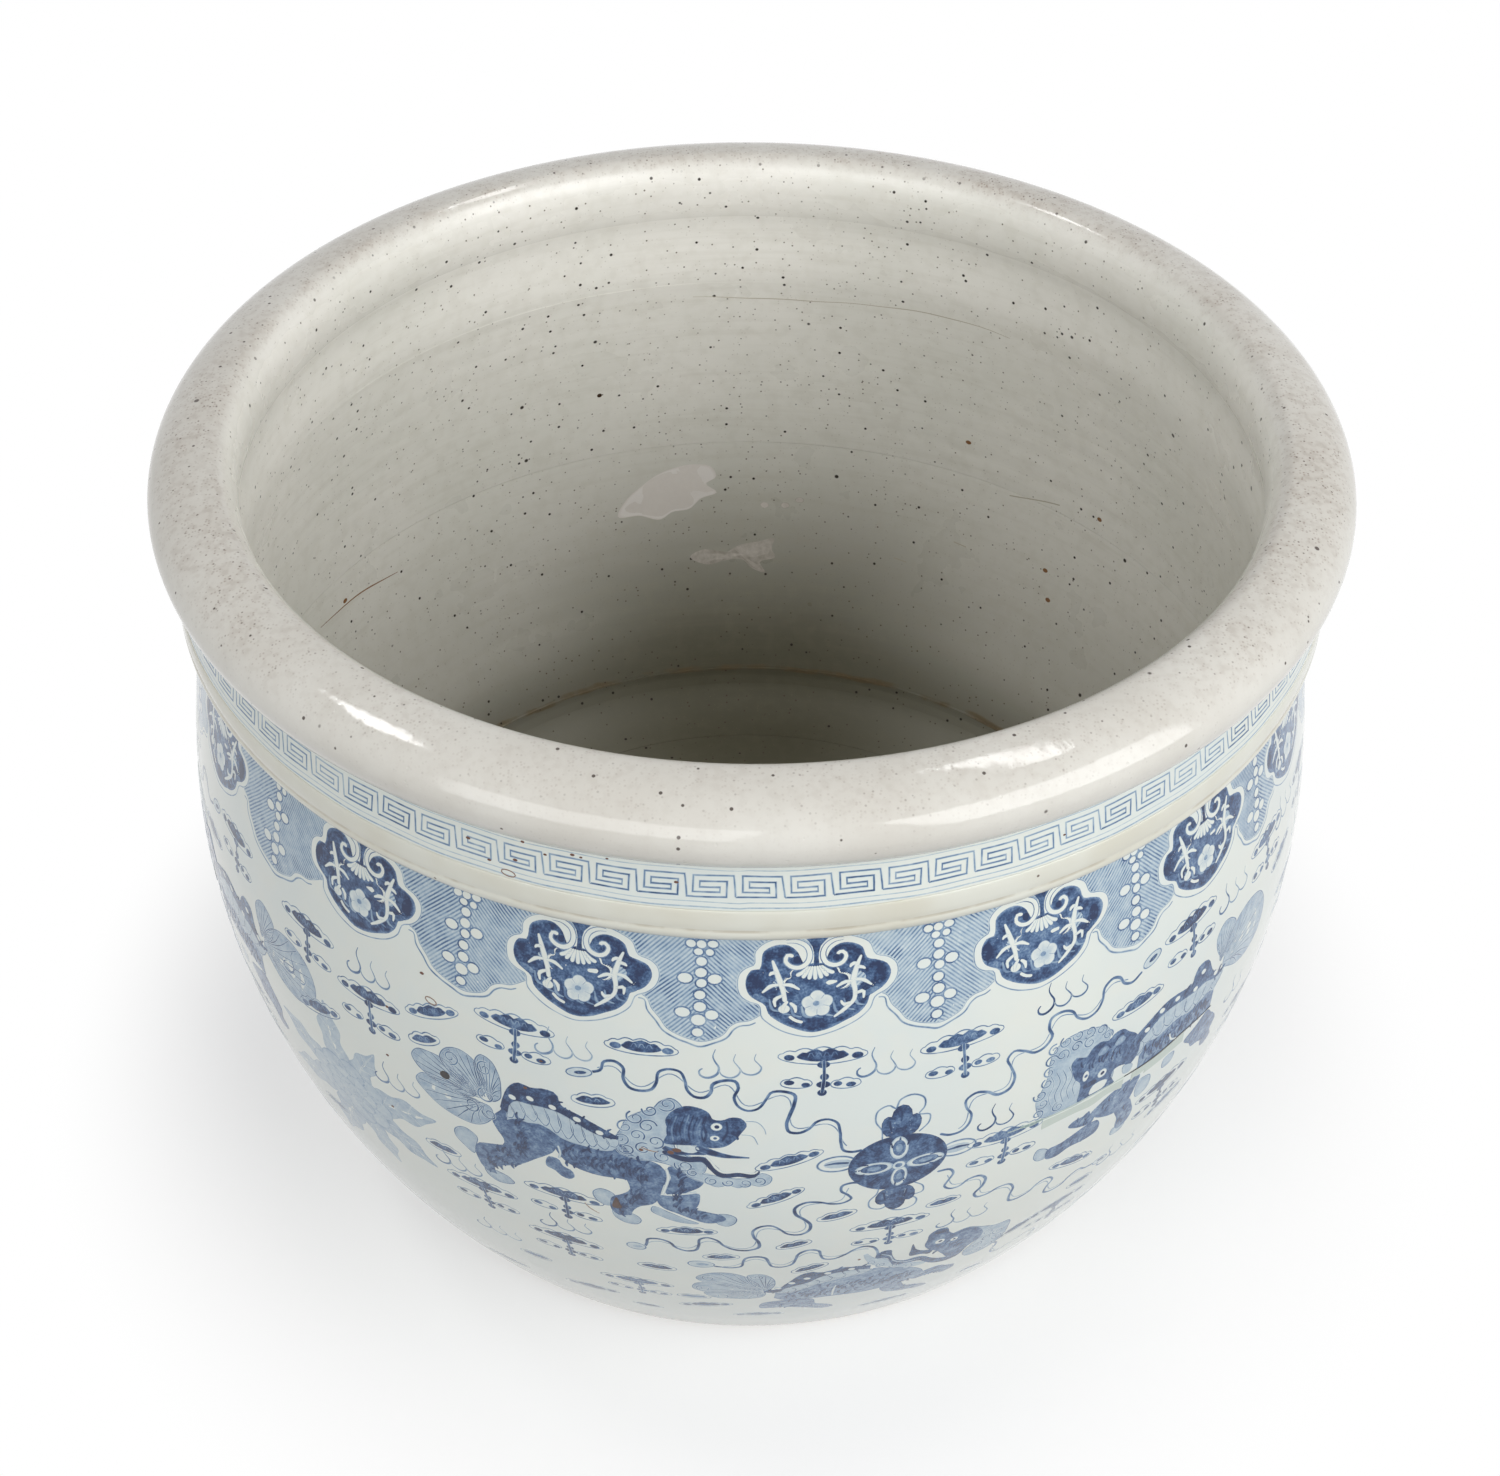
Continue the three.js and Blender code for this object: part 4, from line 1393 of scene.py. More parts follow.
def brocade_ball(sheet):
    """Round body, petals with white borders, hub, side loops and finials."""
    for side, y in ((-1, 5.5), (1, 1)):
        sheet.dab(side * 29, y, 7.5, 3.2, 0.2, 1, fade=0.2)
        sheet.stroke([(side * 24, y), (side * 31, y + 0.6), (side * 36, y)], [1.6, 2.4, 1.0], 0.75, 2)
        ring_line(sheet, side * 30, y, 9.4, 5.6, 0.72, 1, 1.7)
    finial(sheet, 1)
    finial(sheet, -1)
    sheet.patch(oval(0, 0, 24.4, 21, 40), [0.7, 0.74, 0.8, 0.98], 4, fade=0.8, centre=(0, 0))
    petals = [(0, 11.5, 4.6, 8.4, 0), (1, -11, 4.2, 8, 0), (-12, -1.5, 9.4, 4.6, 3), (13.5, -2, 9.6, 4.4, 0)]
    for x, y, reach, rise, turn in petals:
        sheet.dab(x, y, reach, rise, 0.1, 5, turn=turn, fade=0.3, points=20)
        sheet.dab(x, y, reach * 0.7, rise * 0.7, 0.66, 6, turn=turn, fade=0.7, points=16)
        sheet.dab(x, y, reach * 0.36, rise * 0.36, 0.4, 7, turn=turn, fade=0.4)
    sheet.dab(0, -1.8, 3.4, 3.2, 0.12, 7, fade=0.5)
    sheet.dab(0, -1.8, 1.9, 1.8, 0.55, 8, fade=0.3)
    for k in range(26):
        turn = k * 2 * math.pi / 26 + 0.1
        reach = np.array([[15.5 + 2.5 * math.sin(k * 5)], [19], [22.4]])
        ray = reach * (math.cos(turn), math.sin(turn) * 0.86)
        sheet.stroke(ray, [0.7, 1.3, 0.8], 1.0, 5, fade=0.75)


in_each_scene("brocade_balls", 51, brocade_ball, *BALL)

# %% [markdown]
# ## Lions
#
# A lion is built up as the painter builds it: pale washes for the tail, mane and paws, a dark
# body, a pale ribbed back, then the fur in short darker commas, and last the spots and eyes,
# which are bare glaze. The three lions of a scene are drawn each by itself.

# %% Parts that all lions have
CURL_TURNS, CURL_WIDTH = 1.3, 1.35


def curls(sheet, places, size, ink, level):
    """Spirals whose radius shrinks evenly, each started a little further round than the last."""
    share = np.linspace(0, 1, int(9 * CURL_TURNS) + 3)
    for k, (x, y) in enumerate(places):
        angle = math.radians(70 + 50 * k) + share * CURL_TURNS * 2 * math.pi
        reach = size * (1.25 + 0.12 * math.sin(k * 2.3)) * (1 - 0.8 * share)
        spiral = np.column_stack([x + reach * np.cos(angle), y + reach * np.sin(angle)])
        widths = [CURL_WIDTH, CURL_WIDTH, CURL_WIDTH * 0.7]
        sheet.stroke(spiral, widths, 1.12 * ink, level, spacing=1.0)


def combed(sheet, root, outline, count, ink, level):
    """Fine lines combed from a root through a lobe, bowed by the way they start."""
    ends = curve(outline, 1.0, closed=True)[0]
    root, centre = np.array(root), np.mean(outline, axis=0)
    for end in ends[np.linspace(0, len(ends) - 1, count + 2).astype(int)[1:-1]]:
        start = 0.75 * root + 0.25 * centre + 0.12 * (end - centre)
        middle = 0.45 * start + 0.55 * end + 0.16 * (centre - 0.5 * (start + end))
        hair = [start, middle, end + 0.06 * (centre - end)]
        sheet.stroke(hair, [0.6, 1.15, 0.7], ink, level, spacing=2.5)


def pale_lobe(sheet, outline, level, centre=None):
    """Pale wash inside a firm outline."""
    centre = np.mean(outline, axis=0) if centre is None else centre
    sheet.patch(outline, [0.2, 0.22, 0.3], level, centre=centre, fade=0.36)
    sheet.stroke(outline, [0.8, 1.1, 0.7, 1.0], 0.76, level + 1, closed=True)


def legs(sheet, outlines, inks, fade, lean, count, fur_ink):
    """Dark washes with short fur half way out from their middles."""
    for outline in outlines:
        centre = np.mean(outline, axis=0)
        sheet.patch(outline, inks, 3, fade=fade, centre=centre)
        fur(sheet, 0.5 * np.array(outline) + 0.5 * centre, 1.5, lean, 4.6, count, fur_ink, 5, 1.5)


def plume(sheet, lobes, root, count):
    """Tail of pale lobes, each with fine lines combed through it."""
    for outline in lobes:
        pale_lobe(sheet, outline, 0)
        combed(sheet, root, outline, count, 0.84, 1)


def fur(sheet, path, reach, lean, length, count, ink, level, width=2.1):
    """Short thick commas strewn along a path, in a fixed scatter."""
    line = curve(path, 1.0)[0]
    for k in range(count):
        share = (k + 0.5) / count
        spot = line[int(share * (len(line) - 1))]
        aside = reach * math.sin(k * 2.399) * (0.55 + 0.45 * math.sin(k * 1.1))
        angle = math.radians(lean + 24 * math.sin(k * 1.7))
        way = np.array([math.cos(angle), math.sin(angle)])
        normal = np.array([-way[1], way[0]])
        start = spot + np.array([0, aside]) - way * length / 2
        comma = [start, start + way * length / 2 + normal * 0.18 * length, start + way * length]
        sheet.stroke(comma, [0.7, width, 0.6], ink, level, fade=0.75 * ink, spacing=2.2)


def ribs(sheet, top, low, count, ink, level):
    """Row of U-shaped lines hung between two edges."""
    top = resampled(curve(top, 1.0)[0], 2 * count)
    low = resampled(curve(low, 1.0)[0], 2 * count)
    for k in range(0, 2 * count, 2):
        left = [top[k], 0.4 * top[k] + 0.6 * low[k]]
        right = [0.4 * top[k + 2] + 0.6 * low[k + 2], top[k + 2]]
        foot = 0.1 * top[k + 1] + 0.9 * low[k + 1]
        sheet.stroke(left + [foot] + right, [0.6, 1.0, 1.1, 1.0, 0.6], ink, level)


def spotted_crest(sheet, crest_top, crest_low, band_low, ribs_count, spots, tone):
    """Dark crest with bare spots over a pale ribbed band."""
    sheet.span(crest_low, band_low, 0.2, 6, fade=0.3)
    ribs(sheet, crest_low, band_low, ribs_count, 0.72, 7)
    sheet.span(crest_top, crest_low, [0.84 * tone], 8, fade=0.66)
    middle = 0.5 * resampled(crest_top, 12) + 0.5 * resampled(crest_low, 12)
    fur(sheet, middle, 2.6, 60, 5, 26, 1.0 * tone, 9, 1.5)
    for x, y in spots:
        sheet.dab(x, y, 2.1, 1.6, 0.0, 10, fade=0.3, turn=-20)


def eye(sheet, x, y, reach, rise, dot=1.2):
    """Bare glaze with a dark dot."""
    sheet.dab(x, y, reach, rise, 0.0, 11, fade=0.35)
    sheet.dab(x + 0.2, y, dot, dot, 1.0, 12, fade=0.7)


# %% The lion that looks right
CREST_TOP = [
    (-121, 262), (-119.5, 270), (-116.5, 278), (-111, 283), (-104, 282), (-97, 283.5), (-91, 282),
    (-89.5, 276), (-80, 271.5), (-70, 266.5), (-61, 261.5),
]
CREST_LOW = [
    (-117, 260), (-116, 266), (-113, 270), (-106, 270.3), (-99, 270.8), (-92, 270.3), (-86, 268.2),
    (-78, 263.6), (-70, 260.4), (-64, 259.6), (-61, 260),
]
BACK_LOW = [
    (-117.5, 254), (-113, 257), (-107, 256.5), (-101, 258), (-95, 256), (-90, 252.5), (-84, 251),
    (-77, 250.5), (-70, 249.5), (-64, 251), (-60.5, 256),
]
TORSO_TOP = [
    (-95, 257), (-88, 252.6), (-80, 251.2), (-72, 250), (-65, 251), (-60, 257.4), (-57, 254), (-54, 249.5),
    (-48, 248), (-42, 245.5), (-38.6, 240),
]
TORSO_LOW = [
    (-93, 243), (-90, 237), (-85, 232.5), (-78, 230), (-70, 229), (-62, 229.5), (-57, 229), (-50, 227),
    (-44, 226), (-40, 229), (-38.6, 236),
]
HIND_OUTER = [
    (-120, 261), (-126, 251), (-124, 244), (-121, 238), (-121.5, 233.5), (-129, 230), (-136, 226.5),
    (-138.5, 220), (-138, 212), (-136.5, 206), (-134, 203),
]
HIND_INNER = [
    (-98, 259.5), (-91, 254), (-92, 246), (-94, 240), (-99, 234.5), (-105, 229), (-111, 223), (-118, 217.5),
    (-125, 213), (-129, 209), (-128.5, 203),
]
FORE_OUTER = [
    (-61, 236), (-58, 228), (-57, 221), (-61, 216.5), (-66, 213), (-67.5, 206), (-67, 200), (-64, 196),
]
FORE_INNER = [
    (-38.6, 240), (-39.5, 232), (-41, 224), (-42.4, 217), (-46, 211), (-52, 208), (-56, 203), (-57.5, 198),
]
FAR_THIGH = [
    (-37.5, 245), (-34.5, 246), (-30, 242), (-24, 240.5), (-20.5, 237), (-22, 231), (-27, 226.5),
    (-33, 222.5), (-38.5, 221.8), (-38.8, 228), (-36.6, 236),
]
FAR_SHANK = [
    (-42, 220), (-36, 220.6), (-28, 223.6), (-22.8, 224.8), (-22.4, 219), (-24, 213), (-26.5, 209),
    (-20, 208), (-12, 206.5), (-10, 203), (-14, 199.5), (-20, 198), (-27, 201), (-34, 205), (-41, 209),
    (-43.4, 214),
]
TUFT = [
    (-97, 235), (-92, 235), (-90, 230), (-86, 228), (-85, 223), (-88, 220), (-92, 221), (-95, 224.5),
    (-99, 226), (-99, 231),
]
PALE_PAWS = [
    [(-135, 206), (-129, 206.5), (-121, 204), (-119, 201), (-124, 197), (-130, 196), (-135, 201)],
    [(-137, 232), (-143, 235), (-149, 230), (-149, 224), (-145, 219), (-140, 215), (-138, 222)],
    [(-66, 201), (-60, 200), (-56, 199), (-53, 194), (-55, 190), (-61, 189.5), (-66, 194)],
    [(-66, 216), (-72, 218), (-76, 214), (-75, 208), (-70, 203.5), (-66, 205)],
    [(-14, 207), (-8, 207), (-5, 204), (-6, 199), (-10, 196), (-15, 199), (-12, 203)],
    [(-46, 209), (-38, 205), (-30, 200), (-24, 197), (-33, 196.5), (-42, 200.5), (-47, 205)],
]
PLUME = [
    [(-134, 264), (-146, 261), (-158, 263), (-167, 267), (-171, 273), (-168, 278.5), (-160, 280.5),
     (-152, 280), (-143, 277), (-136, 270)],
    [(-126, 259), (-138, 259), (-152, 261), (-165, 263), (-169, 257), (-164, 250), (-157, 244.5),
     (-147, 241.5), (-136, 242), (-129, 247), (-125, 254)],
    [(-131, 265), (-141, 267), (-149, 273), (-154, 281), (-151, 287.5), (-144, 290.5), (-136, 288),
     (-131, 281), (-128, 271)],
    [(-125, 264), (-130, 273), (-133, 281), (-134, 288), (-130.5, 292.5), (-125.5, 291), (-121.5, 284),
     (-120.5, 275), (-121.5, 267)],
]
MANE = [
    (-63, 259), (-60, 268), (-57, 276), (-51, 281), (-45, 284), (-41, 289.5), (-36, 292), (-31, 287),
    (-34, 280), (-32, 270), (-34, 260), (-28, 254), (-20, 250), (-21, 242), (-30, 242.5), (-37, 246.5),
    (-45, 248), (-53, 247.5), (-61, 251),
]
MANE_CURLS = [
    (-58, 270), (-53, 277), (-46, 283), (-38, 288), (-60, 261), (-52, 265), (-47, 272), (-49, 256),
    (-40, 252), (-30, 247), (-57, 254), (-43, 262),
]
SKULL = [
    (-39, 262), (-37, 270), (-38.5, 278), (-35, 284.5), (-29, 288), (-23, 287.5), (-18, 284.5),
    (-16.5, 281), (-12, 280.5), (-8, 282.5), (-3, 281.8), (-0.5, 278), (-3, 272), (-6, 266.5),
    (-10, 262.5), (-16, 261.2), (-24, 262.5), (-31, 262),
]
TONGUE = [(-40, 256), (-30, 252), (-20, 252), (-16, 246), (-12, 241), (-4, 242), (3, 241), (6, 245)]
LIP = [(-20, 256), (-17, 251), (-14.5, 246), (-12, 243.4), (-4.5, 244), (4.5, 243.6), (5.5, 245)]
BEARD = [
    (-33, 247), (-28, 243), (-20, 241), (-14, 240), (-6, 238.4), (2, 239.4), (8, 243), (12, 240), (11, 235.5),
    (6, 232.6), (1, 234), (-4, 231), (-9, 233), (-14, 231.4), (-20, 234.5), (-28, 239),
]


def right_facing_body(sheet, tone):
    """Plume, paws, legs, trunk and crest, from the furthest to the nearest."""
    plume(sheet, PLUME, (-127, 262), 13)
    curls(sheet, [(-129, 284), (-128, 266.5), (-127, 254), (-137, 256), (-148, 283)], 3.8, 0.74, 3)
    for outline in PALE_PAWS:
        pale_lobe(sheet, outline, 0)
    sheet.span(HIND_OUTER, HIND_INNER, 0.6 * tone, 3, fade=0.6, across=9)
    sheet.patch(TUFT, 0.6 * tone, 3, fade=0.5)
    sheet.patch(FAR_THIGH, [0.52 * tone, 0.64 * tone], 3, fade=0.6)
    sheet.patch(FAR_SHANK, [0.54 * tone, 0.64 * tone], 3, fade=0.6, centre=(-30, 212))
    sheet.span(TORSO_TOP, TORSO_LOW, 0.58 * tone, 4, fade=0.62, across=10)
    sheet.span(FORE_OUTER, FORE_INNER, 0.58 * tone, 5, fade=0.6, across=8)
    spots = [(-114.5, 272), (-105, 274.5), (-93.5, 272.5), (-81.5, 268.5), (-70.5, 262.6)]
    spotted_crest(sheet, CREST_TOP, CREST_LOW, BACK_LOW, 10, spots, tone)
    sheet.stroke([(-91.5, 246), (-90.6, 240), (-91.6, 236)], 1.2, 0.05, 8, fade=0.3)
    sheet.stroke([(-38.6, 243), (-37.8, 236), (-39, 228), (-40.5, 221)], 1.6, 0.0, 8, fade=0.2)
    sheet.stroke([(-38, 221.4), (-31, 223.4), (-24, 226)], 1.3, 0.0, 8, fade=0.2)
    fur(sheet, [(-112, 254), (-108, 242), (-114, 230), (-132, 212)], 10, 75, 6, 66, 0.88 * tone, 8)
    fur(sheet, [(-88, 242), (-70, 240), (-46, 238)], 9, 82, 6, 60, 0.88 * tone, 8)
    fur(sheet, [(-50, 232), (-50, 222), (-58, 210), (-62, 199)], 6, 80, 6, 34, 0.88 * tone, 8)
    fur(sheet, [(-32, 240), (-30, 230), (-34, 216), (-20, 204)], 6, 70, 5.6, 34, 0.9 * tone, 8)


def right_facing_head(sheet, tone):
    """Curly mane, skull, jaws with the tongue between them, beard, eyes and whiskers."""
    pale_lobe(sheet, MANE, 4, (-42, 264))
    curls(sheet, MANE_CURLS, 3.6, 0.74, 6)
    pale_lobe(sheet, BEARD, 4, (-5, 237))
    curls(sheet, [(-26, 242), (-17, 236), (-9, 235), (-1, 235), (6, 237)], 2.6, 0.68, 6)
    sheet.stroke([(-40, 259), (-34, 257), (-26, 258), (-18, 258)], [3, 4.4, 5, 4], 0.8 * tone, 6, fade=0.6)
    sheet.stroke(TONGUE, [2.6, 3.8, 4.2, 4.2, 3.8, 2.2], 0.92 * tone, 7, fade=0.75)
    sheet.stroke(LIP, [1.0, 1.5, 1.4, 1.0], 0.0, 8, fade=0.1)
    upper_lip = [(-24, 261.5), (-17, 258), (-10, 255.6), (-3, 254.8), (1.5, 254.6)]
    sheet.stroke(upper_lip, [4.5, 4.6, 3.4, 1.8, 0.8], 0.78 * tone, 7, fade=0.5)
    teeth = [(-33, 261.6), (-26, 262.4), (-22, 260.4), (-24, 257.4), (-29, 257), (-32.5, 258.8)]
    sheet.patch(teeth, 0.12, 7, fade=0.5)
    sheet.patch(SKULL, [0.56 * tone, 0.66 * tone, 0.84 * tone], 8, fade=0.75, centre=(-20, 272))
    eye(sheet, -14.5, 276.2, 2.8, 2.7)
    eye(sheet, -15, 268.4, 2.3, 1.9, 0.9)
    cheek = [(-19.5, 283), (-20.6, 276), (-19, 271), (-20.5, 264)]
    sheet.stroke(cheek, [1.2, 1.8, 1.2], 1.0, 9, fade=0.85)
    sheet.stroke([(-10, 280), (-9.4, 274), (-11.5, 266)], [1.0, 1.6, 1.0], 1.0, 9, fade=0.85)
    for k in range(9):
        x = -36.5 + 2.0 * k
        lock = [(x, 264 + 0.3 * k), (x - 0.8, 272), (x + 1.2, 283 - 0.35 * abs(k - 4) ** 1.5)]
        light = k % 3 == 1
        sheet.stroke(lock, [0.8, 1.2, 0.7], 0.48 if light else 0.96 * tone, 9, fade=0.6 if light else 0.75)
    sheet.dab(-4.4, 277.4, 3.4, 3, 0.95, 9, fade=0.8)
    sheet.stroke([(-7.5, 272), (-5, 270), (-4.4, 267.4)], 1.2, 1.0, 9, fade=0.8)
    sheet.stroke([(-1, 280), (4, 279.5), (8, 274), (8.5, 271)], [0.7, 0.9, 0.6], 0.5, 5)
    sheet.stroke([(-3, 271), (2, 270), (5, 264)], [0.7, 0.9, 0.6], 0.45, 5)


# %% The lion that looks left
LEFT_MANE = [
    (148, 243), (145, 250), (144, 257), (147, 264), (150, 272), (151, 281), (154, 288), (160, 291.5),
    (168, 292), (177, 290), (184, 287), (187, 281), (185, 275), (190, 262), (190, 245), (175, 241),
    (160, 241),
]
LEFT_CURLS = [
    (153, 288), (160, 290), (167, 290.5), (174, 289), (181, 286.5), (185, 281), (151.5, 281), (150.5, 274),
    (149.5, 267), (146, 260), (148, 253), (146, 246), (158, 282), (166, 283.5), (174, 282), (158, 246),
]
LEFT_SKULL = [
    (163.5, 273), (166, 275.5), (169.5, 274), (172, 273), (176, 277), (181, 278.5), (186, 276.5), (190, 279),
    (195.5, 278.5), (200, 274), (205, 269.5), (208, 264), (208.5, 257), (206, 251), (202.5, 248.5),
    (199, 251), (192, 252), (190, 247), (193, 241.5), (188, 241.5), (177, 242), (170.5, 241.5),
    (170.5, 250), (170, 256), (166, 261), (164, 267),
]
LEFT_CREST_TOP = [
    (200, 262), (207, 268), (213, 271), (219, 274), (226, 276.5), (234, 276.5), (241, 275), (247, 274.5),
    (248.5, 279), (252, 282.5), (257, 282.5), (261, 280.5), (263, 275), (265, 270), (270, 265), (278, 265),
]
LEFT_CREST_LOW = [
    (203, 255), (208, 260), (214, 264), (222, 269), (230, 270), (238, 269), (245, 267.5), (252, 266.5),
    (258, 266.5), (264, 264), (270, 262), (277, 264),
]
LEFT_TORSO_TOP = [
    (209, 250), (214, 257), (221, 255), (229, 256.5), (238, 257), (247, 254), (256, 255), (263, 256),
    (269, 253),
]
LEFT_TORSO_LOW = [(209, 240.5), (225, 240), (245, 240), (269, 240)]
LEFT_LEGS = [
    [(181, 224), (187, 229), (195.5, 233), (205, 234.5), (213, 233.5), (212, 224), (208, 214), (200, 211),
     (192, 214), (185, 219)],
    [(200, 214), (209, 216), (213, 208), (215.5, 198), (213, 191), (208, 189.5), (205, 193), (203.5, 202)],
    [(167, 223), (170, 226), (176, 226), (179.5, 228), (181, 224), (185, 219), (184, 216), (177, 217),
     (171, 219.5)],
    [(157, 210), (165, 210.5), (172, 213), (180, 215.5), (188, 214.5), (190.5, 209), (189, 203), (182, 201.5),
     (172, 202), (164, 199), (158, 201)],
    [(248, 230), (258, 235), (268, 239), (272, 234), (277, 228), (280, 222), (278, 214), (281, 207),
     (277, 203.5), (272, 205), (269, 212), (264, 215), (258, 217), (255, 222)],
]
LEFT_PAWS = [
    [(150, 214), (157, 210), (158, 203), (153, 203), (149, 208)],
    [(203, 193), (213, 190), (211, 186), (204, 187)],
    [(215, 228), (222, 226), (222, 214), (216, 212)],
    [(232, 230), (240, 229), (239, 222), (233, 222)],
]
LEFT_PLUME = [
    [(268, 291), (274, 296), (281, 294), (286, 289), (284, 280), (276, 272), (271, 276), (268, 283)],
    [(276, 272), (290, 289), (305, 290), (316, 284), (322, 272), (318, 258), (306, 252), (292, 254),
     (282, 260), (275, 266)],
]


def left_facing_lion(sheet, tone):
    """Body in profile with the head half turned; the seam of the clay crosses its flank."""
    plume(sheet, LEFT_PLUME, (271, 268), 15)
    for outline in LEFT_PAWS:
        pale_lobe(sheet, outline, 0)
    legs(sheet, LEFT_LEGS, [0.52 * tone, 0.66 * tone], 0.55, 76, 12, 0.86 * tone)
    sheet.span(LEFT_TORSO_TOP, LEFT_TORSO_LOW, 0.56 * tone, 4, fade=0.6, across=8)
    sheet.stroke([(232, 250), (234, 244), (239, 241)], [1, 1.6, 1], 0.0, 9, fade=0.2)
    fur(sheet, [(213, 248), (238, 248), (266, 248)], 7, 84, 6, 48, 0.92 * tone, 8)
    spots = [(213, 266.5), (223, 273), (234.5, 273.2), (249.5, 268.5), (256, 276), (268, 266)]
    spotted_crest(sheet, LEFT_CREST_TOP, LEFT_CREST_LOW, LEFT_TORSO_TOP, 9, spots, tone)
    pale_lobe(sheet, LEFT_MANE, 5, (165, 262))
    curls(sheet, LEFT_CURLS, 3, 0.7, 7)
    for k in range(5):
        x = 151 + 3.6 * k
        sheet.stroke([(x, 272), (x + 2.4, 264), (x, 256), (x + 2.4, 248)], [0.6, 1.1, 1.1, 0.6], 0.66, 7)
    sheet.patch(LEFT_SKULL, [0.6 * tone, 0.74 * tone, 0.84 * tone], 8, fade=0.72, centre=(183, 262))
    for x, y in ((183, 271.4), (194, 271.6)):
        sheet.dab(x, y, 4, 3, 0.42, 9, fade=0.7)
        sheet.stroke([(x - 5, y - 1), (x, y + 4.6), (x + 5, y - 1)], [0.8, 1.6, 0.8], 1.0, 10, fade=0.8)
    eye(sheet, 173, 259.5, 2.0, 3.8, 1.1)
    eye(sheet, 184, 255, 3.0, 3.0, 1.3)
    muzzle = [(177, 243), (179, 249), (183, 249.5), (188, 247), (186, 243), (181, 242.5)]
    sheet.patch(muzzle, 0.0, 10, fade=0.3)
    sheet.patch([(198, 250), (205, 247), (203, 242.5), (199, 243.5)], 0.2, 9, fade=0.5)
    sheet.dab(176.5, 251.6, 4.4, 2.2, 1.0, 9, fade=0.8)
    fur(sheet, [(168, 266), (186, 265), (204, 261)], 5, 80, 5, 22, 1.0 * tone, 9, 1.5)


# %% The lion below, which looks back
LOW_PLUME = [
    [(-24, 125), (-27, 130), (-22, 137), (-14, 140), (-5, 138), (3, 130), (8, 120), (10, 112), (0, 114),
     (-12, 120)],
    [(1, 137), (8, 138.5), (13, 134), (15.5, 127), (15, 117), (12, 111), (6, 118), (2, 128)],
    [(-29, 120), (-30, 113), (-24, 108), (-12, 107), (5, 109), (10, 111), (0, 118), (-14, 122), (-24, 124)],
    [(-24, 106), (-20, 99), (-10, 97), (2, 97), (9, 100), (11, 108), (0, 108), (-14, 108)],
]
LOW_CREST_TOP = [
    (10, 111), (18, 114), (21, 120), (24, 126), (27, 132), (31, 136.5), (36, 138), (40, 135.5), (46, 137.5),
    (52, 139.5), (58, 138.5), (63, 138), (68, 136.5),
]
LOW_CREST_LOW = [
    (12, 108.5), (19, 109), (22, 115), (28, 119), (34, 122), (40, 129), (46, 132), (54, 134), (62, 133.5),
    (68, 132),
]
LOW_BAND = [(18, 108), (24, 106), (30, 110), (38, 116), (46, 121), (56, 124), (66, 127), (70, 131)]
LOW_TORSO_TOP = [
    (17, 107), (24, 107), (31, 111), (40, 117), (48, 121), (58, 124), (66, 128), (69, 131), (73, 131),
    (79, 127), (88, 122), (96, 116), (101, 110), (104, 103),
]
LOW_TORSO_LOW = [
    (16, 97), (22, 92), (32, 93), (42, 92), (50, 92), (58, 91), (68, 90), (78, 91), (88, 92), (98, 96),
    (104, 100),
]
LOW_LEGS = [
    [(9, 85.5), (9, 75), (22, 76), (38, 70), (50, 64), (54, 66), (50, 73), (42, 79), (39, 90), (21, 91)],
    [(80, 91), (84, 80), (92, 74), (102, 69), (110, 65.5), (114, 67), (110, 73), (101, 79), (95, 85),
     (93, 92)],
    [(97, 97), (104, 104), (112, 106), (119, 101), (125, 97), (124, 91), (119, 88), (115, 92), (108, 94),
     (100, 93)],
]
LOW_JAW_TOP = [
    (69, 150), (72, 153.5), (77, 153), (78, 148), (80, 142), (83, 136), (88, 133), (95, 133.5), (100, 131),
    (104, 126), (110, 121), (117, 118.5), (123, 119),
]
LOW_JAW_LOW = [
    (69, 146), (76, 143), (79, 136), (82, 129.5), (90, 128), (97, 127), (101, 122), (107, 116), (115, 113),
    (122, 115), (125, 120),
]
LOW_SPIKE = [(89, 154), (92, 146), (97, 141), (103, 138.5), (102, 134.5), (96, 137), (90, 138), (89, 146)]
LOW_SKULL = [
    (97, 160), (102, 165), (107, 164), (109, 158), (112, 154), (119, 155.5), (127, 151), (132, 142),
    (131, 132), (126, 126), (124, 119), (118, 117), (111, 127), (106, 135), (100, 141), (96.5, 148),
    (97, 155),
]
LOW_MANE = [
    (112, 154), (120, 156), (130, 150), (140, 144), (148, 143), (150, 132), (150, 120), (146, 110),
    (138, 106), (130, 108), (126, 116), (131, 132), (132, 142),
]
LOW_BEARD_OUT = [(62, 153), (64, 145), (68, 138), (75, 132), (84, 125), (94, 119), (101, 119)]
LOW_BEARD_IN = [(64, 154), (69, 146), (76, 142), (80, 134), (84, 128), (93, 126.5), (102, 121)]


